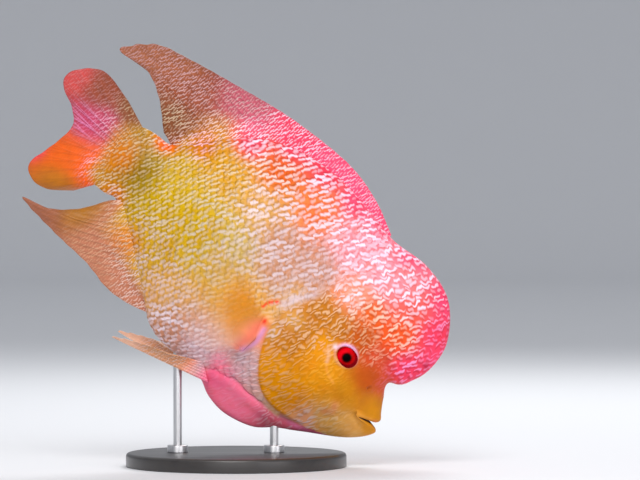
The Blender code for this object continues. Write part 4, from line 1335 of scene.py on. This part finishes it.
# The eye's colours by eyePlace: millimetres from the ball's middle towards the snout and towards the back
def makeEyeMaterial():
    made, tree, shader = newMaterial(
        "eye_gloss", Coat_Weight=0.015, Coat_Roughness=0.03, IOR=1.4, Specular_IOR_Level=0.01,
    )
    place = attribute(tree, "eyePlace")
    rear, front, streak, rim = ((*linear(eyeTones[part]), 1) for part in ("rear", "front", "streaks", "rim"))

    # Distance from a middle as a share of the reach each way
    def apartFrom(middle, reach):
        shifted = vectorCalc("SUBTRACT", place, (*middle, 0.0))
        shares = vectorCalc("MULTIPLY", shifted, (1 / reach[0], 1 / reach[1], 1.0))
        return addNode(tree, "ShaderNodeVectorMath", {0: shares}, "Value", operation="LENGTH")

    toRim = apartFrom(eyePlan["irisMiddle"], eyePlan["irisReach"])
    toPupil = apartFrom(eyePlan["pupilMiddle"], (eyePlan["pupil"], eyePlan["pupil"]))
    streaks = noise(place, 0.9, 3.0)
    red = mixColour(smoothStep(split(place)[0], -4.5, 2.5), rear, front)
    red = mixColour(streaks * 0.35, red, streak)
    halo = mixColour(smoothStep(toPupil, 1.75, 0.95), red, eyeTones["halo"])
    withPupil = mixColour(smoothStep(toPupil, 1.12, 0.88), halo, eyeTones["pupil"])
    colour = mixColour(smoothStep(toRim, 0.84, 1.0), withPupil, rim)
    fillNode(shader, {"Base Color": colour, "Roughness": streaks * 0.1 + 0.12})
    return made


# The eye: a ball by polar angle from the axis that looks outward, its radius that of the ball plus a low
# clear dome exp(-(angle / breadth)^4) over iris and pupil
def makeEye(name, side, material):
    moved = toWorld(np.array([[0, 0, 0], np.insert(eyePlan["shift"], 1, 0)]))
    centre = np.array([list(corner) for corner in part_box(name)]).mean(axis=0) + moved[1] - moved[0]
    polar = np.linspace(0, np.pi, 49)[1:-1][:, None]
    turn = np.linspace(0, 2 * np.pi, 96, endpoint=False)[None, :]
    ball, dome = eyePlan["radius"], eyePlan["corneaRise"]
    radius = ball + dome * np.exp(-((polar / eyePlan["corneaBreadth"]) ** 4))
    ring = radius * np.sin(polar)
    points = pack(ring * np.cos(turn), side * radius * np.cos(polar), ring * np.sin(turn))
    verts = np.vstack([points.reshape(-1, 3), (0, side * (ball + dome), 0), (0, -side * ball, 0)])
    forward = verts[:, 0] * turnCos - verts[:, 2] * turnSin
    upward = verts[:, 0] * turnSin + verts[:, 2] * turnCos
    places = pack(forward, upward, np.zeros(len(verts)))
    places[verts[:, 1] * side < 0] *= 4
    newPiece(
        f"{name}_ball", verts * mm + centre, closedRings(*points.shape[:2]), material,
        vectors={"eyePlace": places}, replaced=(name,),
    )


eyeMaterial = makeEyeMaterial()
makeEye("eye_right", -1, eyeMaterial)
makeEye("eye_left", 1, eyeMaterial)


standPlan = {
    "edge": 2.0 * mm,
    "footEdge": 0.4 * mm,
    "sides": 160,
    "rod": 2.5 * mm,
    "collar": (4.0 * mm, 0.5 * mm),  # height and edge
    "rodInSkin": 1.2 * mm,
    "lacquer": ((0.012, 0.011, 0.012, 1), (0.045, 0.038, 0.034, 1)),
    "steel": ((0.50, 0.50, 0.51, 1), (0.70, 0.70, 0.71, 1)),
}


# Noise drawn out along a direction, by the scale of each axis
def grainAlong(tree, scale, detail, distortion=0.0):
    place = addNode(tree, "ShaderNodeMapping", {"Vector": objectPlace(tree), "Scale": scale})
    return noise(place, 1.0, detail, distortion)


# Dark lacquer with a faint grain, and brushed steel
def makeStandMaterials():
    wood, tree, shader = newMaterial("stand_lacquer", Coat_Weight=0.3, Coat_Roughness=0.22)
    grain = grainAlong(tree, (12.0, 160.0, 160.0), 4.0, 0.4)
    fillNode(shader, {
        "Base Color": mixColour(grain, *standPlan["lacquer"]), "Roughness": grain * 0.18 + 0.28,
        "Normal": bump(grain, 0.05 * mm, 0.5),
    })
    steel, tree, shader = newMaterial("rod_steel", Metallic=1.0)
    brushed = grainAlong(tree, (900.0, 900.0, 12.0), 3.0)
    colour = mixColour(brushed, *standPlan["steel"])
    fillNode(shader, {"Base Color": colour, "Roughness": brushed * 0.2 + 0.22})
    return wood, steel


# A turned piece: the profile's radius and height carried round its axis, closed at both ends on the axis
def turnPiece(name, profile, centre, material, replaced):
    profile = np.array(profile)
    around = np.linspace(0, 2 * np.pi, standPlan["sides"], endpoint=False)[None, :]
    radius, height = profile[1:-1, :1], profile[1:-1, 1:]
    points = pack(radius * np.cos(around), radius * np.sin(around), height)
    verts = np.vstack([points.reshape(-1, 3), (0, 0, profile[0, 1]), (0, 0, profile[-1, 1])]) + (*centre, 0)
    piece = newPiece(name, verts, closedRings(*points.shape[:2]), material, replaced=replaced)
    piece.data.set_sharp_from_angle(angle=math.radians(35))


# A quarter round about its middle: points from 90 degrees past the start angle back to it
def corner(x, z, radius, start):
    turn = np.radians(start) + np.linspace(np.pi / 2, 0, 7)
    return [(x + radius * math.cos(a), z + radius * math.sin(a)) for a in turn]


# Base and rods as turned pieces, sized by their solids' boxes
def makeStand():
    plan, (wood, steel) = standPlan, makeStandMaterials()
    low, high = (np.array(list(cornerPlace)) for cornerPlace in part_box("stand_base"))
    radius, top, edge, foot = (high[0] - low[0]) / 2, high[2], plan["edge"], plan["footEdge"]
    rim = corner(radius - edge, top - edge, edge, 0)
    profile = [(0, top), *rim, *corner(radius - foot, low[2] + foot, foot, -90), (0, low[2])]
    turnPiece("stand_base_turned", profile, (low + high)[:2] / 2, wood, ("stand_base",))
    for name in ("stand_rod_front", "stand_rod_rear"):
        low, high = (np.array(list(cornerPlace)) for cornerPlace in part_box(name))
        collar, (tall, edge), tip = (high[0] - low[0]) / 2, plan["collar"], high[2] + plan["rodInSkin"]
        shoulder = corner(collar - edge, low[2] + tall - edge, edge, 0)
        rod = [(0, tip), (plan["rod"], tip), (plan["rod"], low[2] + tall)]
        profile = [*rod, *shoulder, (collar, low[2]), (0, low[2])]
        turnPiece(f"{name}_turned", profile, (low + high)[:2] / 2, steel, (name,))


makeStand()
print("stand ready")


# Floor, light and camera
studio = {
    "pixel": 0.58 * mm,  # of the photo, at the fish
    "middle": (0.0486, 0.1313),  # x and z that the photo's middle looks at
    "distance": 2.4,
    "lookDown": 0.8,  # degrees
    "floorTone": (0.72, 0.73, 0.75),
    "floorReach": 4.6,
    "floorBend": 0.8,
    "wallHeight": 2.8,
    "aim": (0.02, 0.0, 0.14),
    "world": ((0.93, 0.95, 1.0), 0.62),
    "lights": {  # place, size, power, colour
        "key": ((-0.1, -1.0, 1.15), 0.8, 11.0, (1.0, 0.98, 0.97)),
        "fill": ((0.9, -1.1, 0.3), 0.9, 4.5, (1.0, 0.98, 1.0)),
        "low": ((-0.1, -1.2, 0.12), 0.9, 3.8, (1.0, 0.98, 0.98)),
        "rim": ((0.25, 0.9, 1.0), 0.7, 9.0, (1.0, 1.0, 1.0)),
    },
}


# A named thing put into the scene
def addObject(name, data):
    made = bpy.data.objects.new(name, data)
    bpy.context.scene.collection.objects.link(made)
    return made


# A round floor that sweeps up into a wall on every side: flat, a quarter round, then upright
def makeFloor():
    reach, bend = studio["floorReach"], studio["floorBend"]
    turn = np.linspace(0, np.pi / 2, 24)
    radius = np.r_[1.0, reach, reach + bend * np.sin(turn[1:]), reach + bend][:, None]
    height = np.r_[0, 0, bend * (1 - np.cos(turn[1:])), studio["wallHeight"]][:, None]
    around = np.linspace(0, 2 * np.pi, 128, endpoint=False)
    rings = pack(radius * np.cos(around), radius * np.sin(around), height)
    rows, columns = rings.shape[:2]
    faces = [*gridQuads(rows, columns, wrapped=True).tolist(), *endFans(rows, columns)[0].tolist()]
    mesh = bpy.data.meshes.new("floor")
    mesh.from_pydata([*rings.reshape(-1, 3).tolist(), (0, 0, 0)], [], [face[::-1] for face in faces])
    mesh.polygons.foreach_set("use_smooth", np.ones(len(mesh.polygons), bool))
    mesh.materials.append(newMaterial("floor_paper", Roughness=0.8, Base_Color=(*studio["floorTone"], 1))[0])
    floor = addObject("floor", mesh)


# A round lamp that looks at the fish
def makeLight(name, place, size, power, colour):
    light = bpy.data.lights.new(name, "AREA")
    light.shape, light.size, light.energy, light.color = "DISK", size, power, colour
    made = addObject(name, light)
    made.location = place
    made.rotation_euler = (Vector(studio["aim"]) - Vector(place)).to_track_quat("-Z", "Y").to_euler()


# Floor, lamps, soft light from all round, and the camera where the photo was taken
def makeStudio():
    makeFloor()
    for name, plan in studio["lights"].items():
        makeLight(name, *plan)
    world = bpy.data.worlds.new("studio")
    bpy.context.scene.world = world
    world.use_nodes = True
    tone, strength = studio["world"]
    fillNode(world.node_tree.nodes["Background"], {"Color": (*tone, 1), "Strength": strength})
    camera = bpy.data.cameras.new("camera")
    camera.sensor_width = 36.0
    camera.lens = 36.0 * studio["distance"] / (640 * studio["pixel"])
    made = addObject("camera", camera)
    tilt = math.radians(studio["lookDown"])
    x, z = studio["middle"]
    made.location = (x, -studio["distance"] * math.cos(tilt), z + studio["distance"] * math.sin(tilt))
    made.rotation_euler = (math.pi / 2 - tilt, 0, 0)
    bpy.context.scene.camera = made
    bpy.context.scene.view_settings.view_transform = "Standard"


makeStudio()
print("studio ready")
